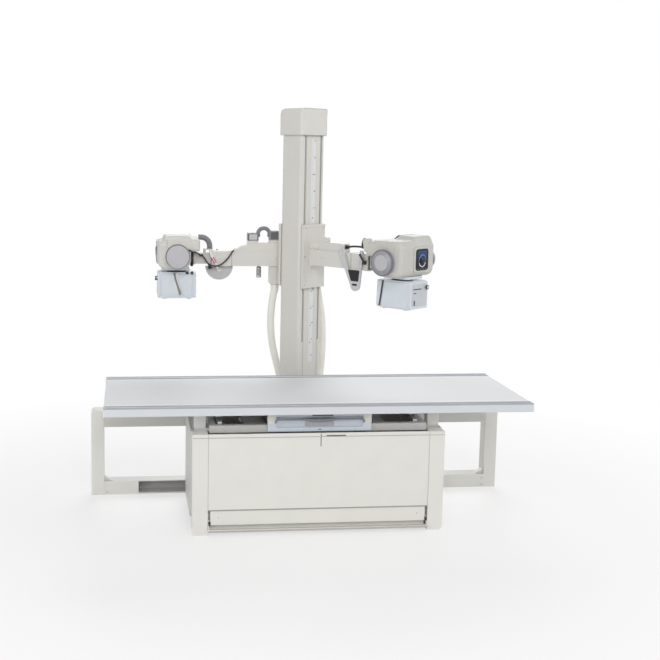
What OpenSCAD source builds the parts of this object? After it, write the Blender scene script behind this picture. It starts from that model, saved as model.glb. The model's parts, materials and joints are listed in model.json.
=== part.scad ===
// Radiography room machine: a four-way floating tabletop on a lifting pedestal, and a
// floor-railed column stand whose carriage carries two telescopic arms with tube heads.
// +X runs along the table, -Y is the side where the operator stands, +Z is up.
// The origin is on the floor, at the centre of the pedestal's floor bolts.

/* [Table] */
// Length of the tabletop
table_len = 2290; // [1900:10:2750]
// Width of the tabletop over its side rails
table_wid = 810; // [790:5:820]
// Width of one side rail
rail_w = 61; // [50:1:74]
// Height of a side rail
rail_h = 47; // [44:1:57]
// Thickness of the tabletop panel
panel_t = 20; // [16:1:24]

/* [Pedestal] */
// Width of the pedestal over its legs
ped_w = 1362; // [1180:2:1640]
// Depth of the pedestal
ped_d = 678; // [664:2:700]
// Height of the pedestal
ped_h = 549; // [500:1:660]
// Width of a leg, square in plan
leg_w = 84; // [76:1:100]
// Thickness of the pedestal's covers
cover_t = 10; // [8:1:12]
// How far the tabletop can come down from where it is drawn
drop = 100; // [80:5:120]
// Height of the kick panel's top edge
kick_h = 134; // [112:1:160]
// Diameter of the foot bar
bar_d = 18; // [15:1:21]

/* [Bucky] */
// Width of the cassette drawer's front
bucky_w = 562; // [470:2:600]
// Size of the square opening in the tray for a cassette
cassette = 430; // [360:5:440]

/* [Stand rails] */
// Length of the rail frame over its end posts
frame_len = 2466; // [2060:2:2950]
// Height of the rail frame
frame_h = 510; // [460:2:520]
// Width of an end post
post_w = 75; // [62:1:90]
// Where the rail frame's front face stands behind the table's middle
frame_y = 406; // [400:1:412]
// Depth of the floor rail
floor_rail_d = 93; // [80:1:100]
// Height of the floor rail
floor_rail_h = 80; // [68:1:94]
// Height of the upper rail
upper_rail_h = 100; // [84:1:120]

/* [Column] */
// Where the column stands along the rails
col_x = 35; // [-200:5:200]
// Distance from the table's middle back to the column's axis
col_y = 640; // [632:2:700]
// Height of the column's top above the floor
col_top = 2289; // [2250:1:2740]
// Depth of the column, along the direction of the right arm
col_d = 161; // [158:1:168]
// Width of the column's slotted faces
col_w = 210; // [206:2:230]
// Turn of the column about its own axis
col_turn = -50; // [-60:5:-40]
// Height of the carriage
car_h = 381; // [340:1:440]
// Height of the carriage's middle above the floor
car_z = 1411; // [1380:1:1440]

/* [Arms and heads] */
// Height of the right arm's axis
right_arm_z = 1407; // [1390:1:1425]
// Height of the left arm's axis
left_arm_z = 1380; // [1370:1:1400]
// How far the left arm's axis lies behind the column's axis
left_arm_back = 110; // [100:2:120]
// Length of an outer arm, from the column's axis to its end
arm_len = 545; // [500:5:560]
// Height of an outer arm
arm_h = 92; // [80:1:96]
// Width of an outer arm
arm_w = 90; // [80:1:96]
// Distance from the column's axis to the middle of a tube head
head_r = 757; // [750:1:900]
// Radius of a tube housing
tube_r = 70; // [60:1:72]
// Length of a tube housing over its end caps
tube_len = 400; // [370:5:480]
// Width of a collimator, along the arm
coll_w = 232; // [200:2:236]
// Depth of a collimator, across the arm
coll_d = 166; // [140:2:180]
// Height of a collimator
coll_h = 160; // [134:1:180]
// Diameter of the main hoses
hose_d = 44; // [37:1:50]

/* [Hidden] */
$fn = 48;
eps = 0.3;               // running gap between flat faces that slide past each other
run = 0.05;              // radial clearance of a shaft in its bore
wall = 4;                // usual thickness of a casting or a tube wall

// heights of the table's stack, from the pedestal's top upwards
lip_z = ped_h + 15 + drop;
table_z = lip_z + rail_h;
panel_z0 = table_z - 3 - panel_t;
roller_r = 16;
roller_z = lip_z - roller_r - eps;
beam_h = 35;
beam_z0 = lip_z - 4 - beam_h;
beam_y1 = 195;
beam_w = 20;
roller_l = 20;
slide_w = 26;
slide_y = beam_y1 + 3 + roller_l / 2;
slide_rail_len = table_len - 190;
roller_x = 230;
cross_x = 532;
cross_r = 12;
lift_z1 = beam_z0 - 2 * cross_r - 16 - eps;
lift_z0 = lift_z1 - 40;
lift_y = 290;
lift_beam = 35;
lift_web = 17;
cross_rail_h = 15;
leg_x0 = ped_w / 2 - leg_w;
lift_x = leg_x0 - 8;
ped_y = ped_d / 2;
rim_h = 19;
block_w = 62;
block_y1 = ped_y - leg_w - 5;
block_y0 = block_y1 - 60;
column_x = 330;

// bucky
bucky_x = 262;
bucky_z0 = lift_z1 + eps;
bucky_z1 = beam_z0 - 3;
tray_z0 = bucky_z0 + 8;
tray_h = 20;
front_z0 = ped_h + 3;
front_z1 = lip_z - 20;
front_y = lift_y + 4;
front_t = 18;

// stand
frame_x = frame_len / 2;
trolley_z = 200;
trolley_x = 190;
wheel_r = 35;
wheel_x = 140;
foot_z = trolley_z + 15;
col_z0 = foot_z + 15;
slot_y = 72;
slot_w = 10;
cap_h = 158;
cap_proud = 15;
plate_t = 18;
plate_x0 = col_d / 2 + 3;
plate_x1 = plate_x0 + plate_t;
plate_y = col_w / 2 - 7;
fin_t = 6;
weight_h = 700;
weight_x0 = -70;
weight_x1 = 56;
weight_z = car_z - weight_h / 2 + 89;
pulley_r = 32;
pulley_z = col_top - 89;
cable_r = 3;
cable_x = 2 * pulley_r;

// arms and heads, in a frame whose +X runs out along the arm and whose z = 0 is its axis
arm_x0 = plate_x1;
inner = 66;
inner_x0 = 180;
hub_x = head_r - 102;
pin_r = 20;
head_z = 25;
tube_y = tube_len / 2;
cap_t = 26;
port_r = 50;
cover_y = tube_y - 26;
coll_z1 = -80;
coll_z0 = coll_z1 - coll_h;
knob_y = coll_d / 2 - 20;
knob_z = coll_z1 - 38;
disc_x = 495;
disc_r = 84;

// routes of the two hoses, from the column's axis on the floor
left_hose_pts = [
    [-147, 110, 1216], [-147, 110, 1203], [-151, 111, 1170], [-159, 114, 1120], [-165, 118, 1060],
    [-167, 122, 1000], [-165, 127, 940], [-159, 132, 880], [-149, 138, 820],
    [-135, 144, 760], [-119, 149, 700], [-103, 153, 640], [-89, 156, 580],
    [-78, 158, 520], [-70, 159, 460], [-66, 160, 400], [-65, 160, 340],
    [-65, 160, 290]];
right_hose_pts = [
    [113, 124, 1300], [113, 124, 1288], [115, 125, 1250], [123, 128, 1200], [135, 132, 1140],
    [147, 136, 1080], [156, 139, 1020], [162, 141, 960], [165, 142, 900],
    [166, 143, 840], [165, 143, 780], [162, 143, 720], [157, 142, 660],
    [151, 141, 600], [144, 140, 540], [137, 139, 480], [131, 138, 420],
    [127, 137, 360], [125, 136, 312], [125, 136, 290]];

// brackets and clips of the smaller cables, and their routes in the arms' frame
rest_z = 58;
rest_x1 = hub_x - 63;
rest_x0 = rest_x1 - 54;
clip_x = hub_x - 50;
elbow_pts = [
    [head_r - 137, 0, 128], [hub_x - 51, 0, 128], [hub_x - 68, 0, 125], [hub_x - 83, 0, 116],
    [hub_x - 94, 0, 103], [hub_x - 100, 0, 88], [hub_x - 102, 0, 72], [hub_x - 102, 0, rest_z]];
left_cable_pts = [
    [clip_x - 3.4, 56.9, 18.6], [clip_x - 8, 58, 14], [clip_x - 17, 60, 2], [clip_x - 27, 62, -14],
    [clip_x - 39, 63, -28], [550, 63, -38], [520, 62, -44], [490, 60, -36],
    [463, 57, -16], [441, 55, 8], [424, 53, 34], [414, 51, 49], [410.6, 49.1, 52.4]];
right_cable_pts = [
    [350, 0, 76], [357, 0, 76], [366, -2, 76.6], [378, -6, 78.8], [398, -10, 81.8], [422, -12, 84],
    [450, -12, 84.6], [478, -10, 83], [504, -6, 78.6], [526, -2, 72.6], [545, 0, 67],
    [rest_x1 - 32, 0, rest_z + 6], [rest_x1 - 17, 0, rest_z + 6]];

warm_white = [0.88, 0.88, 0.85];
cool_white = [0.84, 0.86, 0.88];
pale_grey = [0.72, 0.72, 0.72];
steel = [0.62, 0.63, 0.65];
dark_grey = [0.3, 0.3, 0.32];
near_black = [0.08, 0.08, 0.09];

// ---------------------------------------------------------------- helpers

function last_of(list) = list[len(list) - 1];

// points of an arc, from angle a0 to a1
function arc(cx, cy, r, a0, a1, n = 6) =
    [for (i = [0:n]) let (a = a0 + (a1 - a0) * i / n) [cx + r * cos(a), cy + r * sin(a)]];

// outline of a box with its own radius at each corner, from the lower left, anticlockwise
function round_box(x0, y0, x1, y1, r) = concat(
    arc(x0 + r[0], y0 + r[0], r[0], 180, 270), arc(x1 - r[1], y0 + r[1], r[1], 270, 360),
    arc(x1 - r[2], y1 - r[2], r[2], 0, 90), arc(x0 + r[3], y1 - r[3], r[3], 90, 180));

// a box given by its two corners
module box(lo, hi) {
    translate(lo) cube([hi[0] - lo[0], hi[1] - lo[1], hi[2] - lo[2]]);
}

// the same box on both sides of the plane x = 0, and then of y = 0
module both_x() {
    children();
    mirror([1, 0, 0]) children();
}

module both_y() {
    children();
    mirror([0, 1, 0]) children();
}

// a flat outline in X and Z, with its thickness from y0 to y1
module slab_xz(y0, y1) {
    translate([0, y1, 0]) rotate([90, 0, 0]) linear_extrude(y1 - y0) children();
}

// a flat outline in Y and Z, with its thickness from x0 to x1
module slab_yz(x0, x1) {
    translate([x0, 0, 0]) rotate([90, 0, 90]) linear_extrude(x1 - x0) children();
}

// round bars along X and along Y
module bar_x(x0, x1, r, y = 0, z = 0) {
    translate([x0, y, z]) rotate([0, 90, 0]) cylinder(h = x1 - x0, r = r);
}

module bar_y(y0, y1, r, x = 0, z = 0) {
    translate([x, y1, z]) rotate([90, 0, 0]) cylinder(h = y1 - y0, r = r);
}

// a place given from the column's axis, as the column's own turned frame has it
function in_column(p) =
    [p[0] * cos(col_turn) + p[1] * sin(col_turn), p[1] * cos(col_turn) - p[0] * sin(col_turn)];

// a tube of round section swept along a list of points
function unit(v) = v / norm(v);
function sweep_dir(p, i) =
    i == 0 ? unit(p[1] - p[0])
    : i == len(p) - 1 ? unit(p[i] - p[i - 1])
    : unit(p[i + 1] - p[i - 1]);
function ring_at(c, d, side, r, n) =
    let (u = unit(side - (side * d) * d), v = cross(d, u))
    [for (k = [0:n - 1]) c + r * (u * cos(360 * k / n) + v * sin(360 * k / n))];

module swept_tube(p, r, side, n = 10) {
    last = len(p) - 1;
    pts = [for (i = [0:last]) each ring_at(p[i], sweep_dir(p, i), side, r, n)];
    sides = [for (i = [0:last - 1], k = [0:n - 1])
        [i * n + k, i * n + (k + 1) % n, (i + 1) * n + (k + 1) % n, (i + 1) * n + k]];
    polyhedron(points = pts, faces = concat(
        [for (f = sides) [f[3], f[2], f[1], f[0]]],
        [[for (k = [0:n - 1]) k]],
        [[for (k = [0:n - 1]) last * n + n - 1 - k]]));
}

module at_column() {
    translate([col_x, col_y, 0]) rotate([0, 0, col_turn]) children();
}

module at_hoses() {
    translate([col_x, col_y, 0]) children();
}

module at_right_arm() {
    translate([col_x, col_y, right_arm_z]) rotate([0, 0, col_turn]) children();
}

module at_left_arm() {
    translate([col_x, col_y + left_arm_back, left_arm_z]) rotate([0, 0, 180]) children();
}

// ---------------------------------------------------------------- pedestal

base_x = 480;
base_y = 250;
base_t = 8;
tie_x = 300;
tie_w = 80;

module pedestal_base() color(dark_grey) difference() {
    union() {
        box([-leg_x0, -ped_y + leg_w, 0], [leg_x0, ped_y - leg_w, base_t]);
        both_x() box([tie_x, 0, 0], [tie_x + tie_w, frame_y + 4, base_t]);
    }
    for (sx = [-1, 1], sy = [-1, 1])
        translate([sx * base_x, sy * base_y / 2, -1]) cylinder(h = base_t + 2, r = 7);
}

// a front leg and a rear leg on one foot beam; pin of the foot bar on its inner face
pin_y = -ped_y + 21;
pin_z = 72;

module leg_pair() difference() {
    union() {
        both_y() difference() {
            slab_xz(-ped_y, -ped_y + leg_w)
                polygon(round_box(leg_x0, 0, leg_x0 + leg_w, ped_h, [3, 26, 3, 3]));
            translate([leg_x0 + wall, -ped_y + wall, 30])
                cube([leg_w - 2 * wall, leg_w - 2 * wall, ped_h - 30 - wall]);
        }
        box([leg_x0 + 4, -ped_y + leg_w, 0], [leg_x0 + 60, ped_y - leg_w, 40]);
        bar_x(leg_x0 - 9, leg_x0, 5, pin_y, pin_z);
    }
    // shadow line under the rim
    box([leg_x0 - 1, -ped_y - 1, ped_h - rim_h - 2], [leg_x0 + leg_w + 1, -ped_y + 1.5, ped_h - rim_h]);
}

module left_leg() color(warm_white) mirror([1, 0, 0]) leg_pair();
module right_leg() color(warm_white) leg_pair();

module front_panel() color(warm_white) difference() {
    box([-leg_x0, -ped_y + 1, kick_h + 2], [leg_x0, -ped_y + 1 + cover_t, ped_h]);
    box([-leg_x0 - 1, -ped_y, ped_h - rim_h - 2], [leg_x0 + 1, -ped_y + 2.5, ped_h - rim_h]);
    box([2, -ped_y, ped_h - 73], [6, -ped_y + 2.5, ped_h - 3]);
    box([33, -ped_y, ped_h - 17], [139, -ped_y + 2.5, ped_h - 12]);
}

module kick_panel() color(warm_white) {
    x1 = leg_x0 - 13;
    box([-x1, -ped_y + 4, 53], [x1, -ped_y + 4 + cover_t, kick_h]);
    box([-x1, -ped_y + 4 + cover_t, 53], [x1, -ped_y + leg_w, 58]);
    box([-leg_x0, -ped_y + leg_w - 40, 53], [leg_x0, -ped_y + leg_w, 58]);
}

side_y = ped_y - leg_w;
side_proud = 5;

module side_panel() {
    x1 = leg_x0 + leg_w + side_proud;
    slab_yz(x1 - cover_t, x1)
        polygon(round_box(-side_y, 62, side_y, ped_h - 1, [60, 60, 3, 3]));
}

module side_panels() color(pale_grey) both_x() side_panel();

module rear_panel() color(warm_white) {
    box([-leg_x0, ped_y - 1 - cover_t, 58], [leg_x0, ped_y - 1, ped_h]);
}

col_tube_w = 160;
col_tube_d = 120;
outer_top = lift_z0 - drop - 6;

module lift_outer_columns() color(dark_grey) both_x() {
    difference() {
        box([column_x - col_tube_w / 2, -col_tube_d / 2, base_t],
            [column_x + col_tube_w / 2, col_tube_d / 2, outer_top]);
        box([column_x - col_tube_w / 2 + 6, -col_tube_d / 2 + 6, base_t + 12],
            [column_x + col_tube_w / 2 - 6, col_tube_d / 2 - 6, outer_top + 1]);
    }
}

foot_y = -ped_y - 6;
foot_z_bar = 26;
arm_t = 5;

module foot_bar() color(steel) {
    x1 = leg_x0 - 2;
    bar_x(-x1 + arm_t, x1 - arm_t, bar_d / 2, foot_y, foot_z_bar);
    both_x() difference() {
        hull() {
            bar_x(x1 - arm_t, x1, bar_d / 2, foot_y, foot_z_bar);
            bar_x(x1 - arm_t, x1, 10, pin_y, pin_z);
        }
        bar_x(x1 - arm_t - 1, x1 + 1, 5 + run, pin_y, pin_z);
    }
}

// ---------------------------------------------------------------- lift and floating top

module lift_frame() color(pale_grey) {
    both_y() box([-lift_x, lift_y - lift_beam, lift_z0], [lift_x, lift_y, lift_z1]);
    both_x() {
        box([lift_x - lift_beam, -lift_y + lift_beam, lift_z0], [lift_x, lift_y - lift_beam, lift_z1]);
        box([column_x - 60, -lift_y + lift_beam, lift_z0],
            [column_x + 60, lift_y - lift_beam, lift_z0 + lift_web]);
        // corner blocks
        both_y() {
            box([lift_x, block_y0, lift_z0], [leg_x0 + 8, block_y1, lift_z0 + lift_web]);
            box([leg_x0 + 8, block_y0, lift_z0], [leg_x0 + 8 + block_w, block_y1, lip_z - 6]);
        }
    }
}

// rails that the floating carriage crosses on
module cross_rails() color(steel) both_x()
    box([cross_x - 12, -lift_y + lift_beam - 10, lift_z1],
        [cross_x + 12, lift_y - lift_beam + 10, lift_z1 + cross_rail_h]);

inner_w = col_tube_w - 2 * 6 - 8;
inner_d = col_tube_d - 2 * 6 - 8;

module lift_inner_columns() color(steel) both_x() difference() {
    box([column_x - inner_w / 2, -inner_d / 2, base_t + 12 + drop + 60],
        [column_x + inner_w / 2, inner_d / 2, lift_z0]);
    box([column_x - inner_w / 2 + 8, -inner_d / 2 + 8, 0],
        [column_x + inner_w / 2 - 8, inner_d / 2 - 8, lift_z0 - 10]);
}

float_x1 = leg_x0 - 4;
axle_r = 5;

module float_carriage() color(dark_grey) difference() {
    union() {
        both_y() box([-float_x1, beam_y1 - beam_w, beam_z0], [float_x1, beam_y1, beam_z0 + beam_h]);
        both_x() {
            box([float_x1 - 38, -beam_y1 + beam_w, beam_z0 + 5],
                [float_x1, beam_y1 - beam_w, beam_z0 + beam_h - 2]);
        }
    }
    for (sx = [-2, -1, 1, 2], sy = [-1, 1])
        bar_y(sy * beam_y1 - beam_w - 1, sy * beam_y1 + beam_w + 1, axle_r, sx * roller_x, roller_z);
}

module float_rollers() color(steel) {
    for (sx = [-2, -1, 1, 2], sy = [-1, 1]) {
        bar_y(sy * slide_y - roller_l / 2, sy * slide_y + roller_l / 2, roller_r,
            sx * roller_x, roller_z);
        bar_y(min(sy * (beam_y1 - beam_w), sy * (slide_y - 5)),
            max(sy * (beam_y1 - beam_w), sy * (slide_y - 5)), axle_r, sx * roller_x, roller_z);
    }
    for (sx = [-1, 1], sy = [-1, 1]) {
        y = sy * (beam_y1 - beam_w / 2);
        z = lift_z1 + cross_rail_h + cross_r + eps;
        for (e = [-1, 1])
            bar_x(sx * cross_x + min(e * 9, e * 17), sx * cross_x + max(e * 9, e * 17), cross_r, y, z);
        box([sx * cross_x - 9, y - 9, beam_z0 - 14], [sx * cross_x + 9, y + 9, beam_z0]);
    }
}

module tabletop_panel() color(cool_white) {
    y1 = table_wid / 2 - rail_w;
    box([-table_len / 2 + 2, -y1, panel_z0], [table_len / 2 - 2, y1, panel_z0 + panel_t]);
}

// side rail: a flat top edge, then a groove that slopes down to the panel
module side_rail_outline() {
    y1 = table_wid / 2;
    y0 = y1 - rail_w;
    polygon([[-y1, lip_z + 3], [-y1 + 3, lip_z], [-y0, lip_z], [-y0, panel_z0],
        [-y0, panel_z0 + panel_t], [-y0 - 8, table_z - 2], [-y0 - 20, table_z - 2],
        [-y0 - 22, table_z - 9], [-y1 + 16, table_z - 9], [-y1 + 14, table_z],
        [-y1 + 3, table_z], [-y1, table_z - 3]]);
}

module side_rail() slab_yz(-table_len / 2, table_len / 2) side_rail_outline();

module front_rail() color(cool_white) side_rail();
module rear_rail() color(cool_white) mirror([0, 1, 0]) side_rail();

module slide_rails() color(steel) both_y()
    box([-slide_rail_len / 2, slide_y - slide_w / 2, lip_z],
        [slide_rail_len / 2, slide_y + slide_w / 2, panel_z0]);

module bucky_housing() color(pale_grey) difference() {
    box([-bucky_x, -lift_y, bucky_z0], [bucky_x, lift_y, bucky_z1]);
    box([-bucky_x + wall, -lift_y - 1, bucky_z0 + wall], [bucky_x - wall, lift_y - 20, bucky_z1 - wall]);
}

module cassette_tray() color(steel) difference() {
    box([-bucky_x + wall + 2, -front_y, tray_z0], [bucky_x - wall - 2, 220, tray_z0 + tray_h]);
    box([-cassette / 2, -215, tray_z0 + 3], [cassette / 2, 215, tray_z0 + tray_h + 1]);
}

// drawer front with a dished middle, and a bow handle on two feet
module drawer_front() color(cool_white) {
    difference() {
        slab_xz(-front_y - front_t, -front_y)
            polygon(round_box(-bucky_w / 2, front_z0, bucky_w / 2, front_z1, [3, 3, 3, 3]));
        slab_xz(-front_y - front_t - 1, -front_y - 6)
            polygon(round_box(-bucky_w / 2 + 46, front_z0 + 22, bucky_w / 2 - 46, front_z1 - 12,
                [8, 8, 8, 8]));
    }
    y = -front_y - front_t - 7;
    both_x() bar_y(y, -front_y - 6, 4, bucky_w / 2 - 62, front_z1 - 24);
    bar_x(-bucky_w / 2 + 56, bucky_w / 2 - 56, 4.5, y, front_z1 - 24);
}

// ---------------------------------------------------------------- rails of the stand

channel_t = 5;

module floor_rail() color(pale_grey) difference() {
    box([-frame_x + post_w, frame_y + 4, 0],
        [frame_x - post_w, frame_y + floor_rail_d, floor_rail_h]);
    box([-frame_x + post_w - 1, frame_y + 3, channel_t + 3],
        [frame_x - post_w + 1, frame_y + floor_rail_d - channel_t, floor_rail_h - channel_t]);
    for (sx = [-1, 1], sy = [0, 1])
        translate([sx * (frame_x - 300), frame_y + 25 + sy * 45, -1])
            cylinder(h = channel_t + 6, r = 6);
}

upper_d = 34;

module upper_rail() color(warm_white) difference() {
    box([-frame_x + post_w, frame_y, frame_h - upper_rail_h],
        [frame_x - post_w, frame_y + upper_d, frame_h - 1]);
    box([-frame_x + post_w - 1, frame_y + channel_t, frame_h - upper_rail_h + channel_t],
        [frame_x - post_w + 1, frame_y + upper_d - channel_t, frame_h - 1 - channel_t]);
}

module end_posts() color(warm_white) both_x() difference() {
    slab_xz(frame_y, frame_y + floor_rail_d)
        polygon(round_box(frame_x - post_w, 0, frame_x, frame_h, [2, 3, 20, 2]));
    box([frame_x - post_w + wall, frame_y + wall, wall],
        [frame_x - wall, frame_y + floor_rail_d - wall, frame_h - upper_rail_h]);
}

left_plate_w = 202;
right_plate_w = 270;

// cover plates over the floor rail's ends, corner gussets, and their screws
module rail_fittings() color(warm_white) {
    x1 = frame_x - post_w;
    box([-x1, frame_y, 0], [-x1 + left_plate_w, frame_y + 4, floor_rail_h]);
    box([x1 - right_plate_w, frame_y, 0], [x1, frame_y + 4, floor_rail_h]);
    both_x() {
        slab_xz(frame_y + 20, frame_y + 60)
            polygon([[x1, floor_rail_h], [x1, floor_rail_h + 26], [x1 - 50, floor_rail_h]]);
        for (z = [17, 57])
            translate([x1 - 13, frame_y, z]) rotate([90, 0, 0]) cylinder(h = 2.5, r = 5);
    }
}

// ---------------------------------------------------------------- trolley and column

guide_z = frame_h + 4;

module trolley() color(pale_grey) {
    wz = floor_rail_h + eps + wheel_r;
    translate([col_x, 0, 0]) {
        difference() {
            box([-trolley_x, frame_y + 10, trolley_z - 60], [trolley_x, col_y + 200, trolley_z]);
            box([-trolley_x + 8, frame_y + 18, trolley_z - 61], [trolley_x - 8, col_y + 192, trolley_z - 8]);
            translate([0, col_y, trolley_z - 61]) cylinder(h = 62, r = 60 + run);
        }
        // wheel forks
        both_x() for (y = [frame_y + 12, frame_y + floor_rail_d - 12]) {
            box([wheel_x - 24, y - 4, wz - 18], [wheel_x + 24, y + 4, trolley_z - 8]);
        }
        both_x() bar_y(frame_y + 12, frame_y + floor_rail_d - 12, 10, wheel_x, wz);
        // bearing boss for the column's spigot
        translate([0, col_y, trolley_z - 52]) difference() {
            cylinder(h = 44, r = 90);
            translate([0, 0, -1]) cylinder(h = 46, r = 60 + run);
        }
        // outrigger skids behind, rounded underneath, a hair above the floor
        both_x() box([trolley_x - 40, col_y + 120, 24], [trolley_x - 8, col_y + 190, trolley_z - 8]);
        both_x() bar_x(trolley_x - 36, trolley_x - 12, 24, col_y + 155, 24 + eps);
        // mast up to the upper rail, with hooks over it
        both_x() box([120, frame_y + upper_d + eps, trolley_z], [180, frame_y + upper_d + 22, guide_z + 14]);
        both_x() box([120, frame_y + 6, guide_z - 4 + eps], [180, frame_y + upper_d + eps, guide_z + 14]);
    }
}

module wheel(side) color(dark_grey) {
    wz = floor_rail_h + eps + wheel_r;
    difference() {
        bar_y(frame_y + 20, frame_y + floor_rail_d - 20, wheel_r, col_x + side * wheel_x, wz);
        bar_y(frame_y + 19, frame_y + floor_rail_d - 19, 10 + run, col_x + side * wheel_x, wz);
    }
}

module left_wheel() wheel(-1);
module right_wheel() wheel(1);

col_r = 22;
col_wall = 8;
slot_z0 = car_z - car_h / 2 - 330;
slot_z1 = col_top - cap_h + 10;

module column_profile() color(pale_grey) at_column() {
    difference() {
        translate([0, 0, col_z0]) linear_extrude(col_top - 12 - col_z0)
            polygon(round_box(-col_d / 2, -col_w / 2, col_d / 2, col_w / 2,
                [col_r, col_r, col_r, col_r]));
        box([-col_d / 2 + col_wall, -col_w / 2 + col_wall, col_z0 + 20],
            [col_d / 2 - col_wall, col_w / 2 - col_wall, col_top]);
        for (sy = [-1, 1])
            box([-col_d, sy * slot_y - slot_w / 2, slot_z0], [col_d, sy * slot_y + slot_w / 2, slot_z1]);
    }
    // axle of the top pulley
    bar_y(-col_w / 2 + 1, col_w / 2 - 1, 8, pulley_r, pulley_z);
    // turntable with its spigot, and the sockets of the two hoses
    translate([0, 0, trolley_z + eps]) cylinder(h = col_z0 - trolley_z - eps, r = 150);
    translate([0, 0, trolley_z - 56]) cylinder(h = 60, r = 60);
    rotate([0, 0, -col_turn]) {
        foot_plate_z = trolley_z + 6;
        for (end = [last_of(left_hose_pts), last_of(right_hose_pts)]) {
            hull() {
                translate([end[0], end[1], foot_plate_z]) cylinder(h = 14, r = 40);
                translate([0, 60, foot_plate_z]) cylinder(h = 14, r = 60);
            }
            translate([end[0], end[1], foot_plate_z])
                cylinder(h = end[2] - foot_plate_z, r = hose_d / 2 + 5);
        }
    }
}

module column_cap() color(warm_white) at_column() difference() {
    translate([0, 0, col_top - cap_h]) linear_extrude(cap_h)
        polygon(round_box(-col_d / 2 - cap_proud, -col_w / 2 - cap_proud,
            col_d / 2 + cap_proud, col_w / 2 + cap_proud, [26, 26, 26, 26]));
    translate([0, 0, col_top - cap_h - 1]) linear_extrude(cap_h - 11)
        polygon(round_box(-col_d / 2 - 1, -col_w / 2 - 1, col_d / 2 + 1, col_w / 2 + 1,
            [col_r, col_r, col_r, col_r]));
}

strip_w = 40;
strip_z0 = 760;

module scale_strip() color(cool_white) at_column()
    box([col_d / 2, -strip_w / 2, strip_z0], [col_d / 2 + 1.5, strip_w / 2, col_top - cap_h - 20]);

pulley_t = 18;

module top_pulley() color(steel) at_column() difference() {
    bar_y(-pulley_t / 2, pulley_t / 2, pulley_r + 5, pulley_r, pulley_z);
    translate([pulley_r, 0, pulley_z]) rotate([90, 0, 0]) rotate_extrude($fn = 48) {
        translate([pulley_r, 0]) circle(r = cable_r + 0.4, $fn = 24);
        translate([pulley_r, -cable_r - 0.4]) square([10, 2 * (cable_r + 0.4)]);
    }
    bar_y(-pulley_t, pulley_t, 8 + run, pulley_r, pulley_z);
}

module counterweight() color(dark_grey) at_column()
    box([weight_x0, -60, weight_z - weight_h / 2], [weight_x1, 60, weight_z + weight_h / 2]);

bar_z = car_z + 160;

module lift_cable() color(steel) at_column() {
    translate([0, 0, weight_z + weight_h / 2 + 0.5])
        cylinder(h = pulley_z - weight_z - weight_h / 2 - 0.5, r = cable_r, $fn = 24);
    translate([cable_x, 0, bar_z + 20.5]) cylinder(h = pulley_z - bar_z - 20.5, r = cable_r, $fn = 24);
    translate([pulley_r, 0, pulley_z]) rotate([90, 0, 0]) rotate_extrude(angle = 180, $fn = 48)
        translate([pulley_r, 0]) circle(r = cable_r, $fn = 24);
}

// ---------------------------------------------------------------- carriage

right_socket = in_column(right_hose_pts[0]);

module carriage() color(warm_white) {
    z0 = car_z - car_h / 2;
    z1 = car_z + car_h / 2;
    at_column() {
        for (s = [0, 1]) mirror([s, 0, 0]) slab_yz(plate_x0, plate_x1)
            polygon(round_box(-plate_y, z0, plate_y, z1, [6, 6, 6, 6]));
        for (sy = [-1, 1])
            box([-plate_x0, sy * slot_y - fin_t / 2, z0 + 20],
                [plate_x0, sy * slot_y + fin_t / 2, z1 - 20]);
        // bar that the lifting cable is fixed to
        box([cable_x - 4, -slot_y, bar_z], [cable_x + 4, slot_y, bar_z + 20]);
    }
    // bracket and socket of the right hose, on the rear plate
    at_hoses() translate(right_hose_pts[0]) cylinder(h = 36, r = hose_d / 2 + 5);
    at_column() {
        z = right_hose_pts[0][2];
        box([-plate_x1 - 12, 40, z + 4], [-plate_x1, right_socket[1] + 16, z + 32]);
        box([-plate_x1 - 1, right_socket[1] - 16, z + 4], [right_socket[0], right_socket[1] + 16, z + 32]);
    }
}

car_roller_r = 9;

module carriage_rollers() color(steel) at_column()
    for (z = [car_z - 130, car_z + 110], sx = [-1, 1], sy = [-1, 1]) {
        x = sx * (col_d / 2 - col_wall - eps - car_roller_r);
        bar_y(sy * 78 - 2.8, sy * 78 + 2.8, car_roller_r, x, z);
        bar_y(min(sy * (slot_y + fin_t / 2), sy * 78), max(sy * (slot_y + fin_t / 2), sy * 78), 4, x, z);
    }

// ---------------------------------------------------------------- arms

// an outer arm: a square tube with a collar at its end, open for the inner arm
module outer_arm(x0) difference() {
    union() {
        box([x0, -arm_w / 2, -arm_h / 2], [arm_len - 31, arm_w / 2, arm_h / 2]);
        slab_yz(arm_len - 31, arm_len)
            polygon(round_box(-arm_w / 2 - 4, -arm_h / 2 - 3, arm_w / 2 + 4, arm_h / 2 + 3, [5, 5, 5, 5]));
    }
    box([inner_x0 - 40, -inner / 2 - 2, -inner / 2 - 2], [arm_len + 1, inner / 2 + 2, inner / 2 + 2]);
}

// the flared root where an arm grows out of its plate
module arm_root(x0) {
    slab_xz(-arm_w / 2, arm_w / 2) polygon(concat(
        [[x0, -arm_h / 2 - 34]], arc(x0 + 34, -arm_h / 2 - 34, 34, 180, 90), [[x0 + 40, -arm_h / 2 + 1]],
        [[x0 + 40, arm_h / 2 - 1]], arc(x0 + 34, arm_h / 2 + 34, 34, 270, 180)));
}

module right_outer_arm() color(warm_white) at_right_arm() {
    outer_arm(arm_x0 + 36);
    difference() {
        arm_root(arm_x0);
        box([arm_x0 + 36, -arm_w, -arm_h], [arm_x0 + 60, arm_w, arm_h]);
    }
}

left_x0 = 118;

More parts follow.
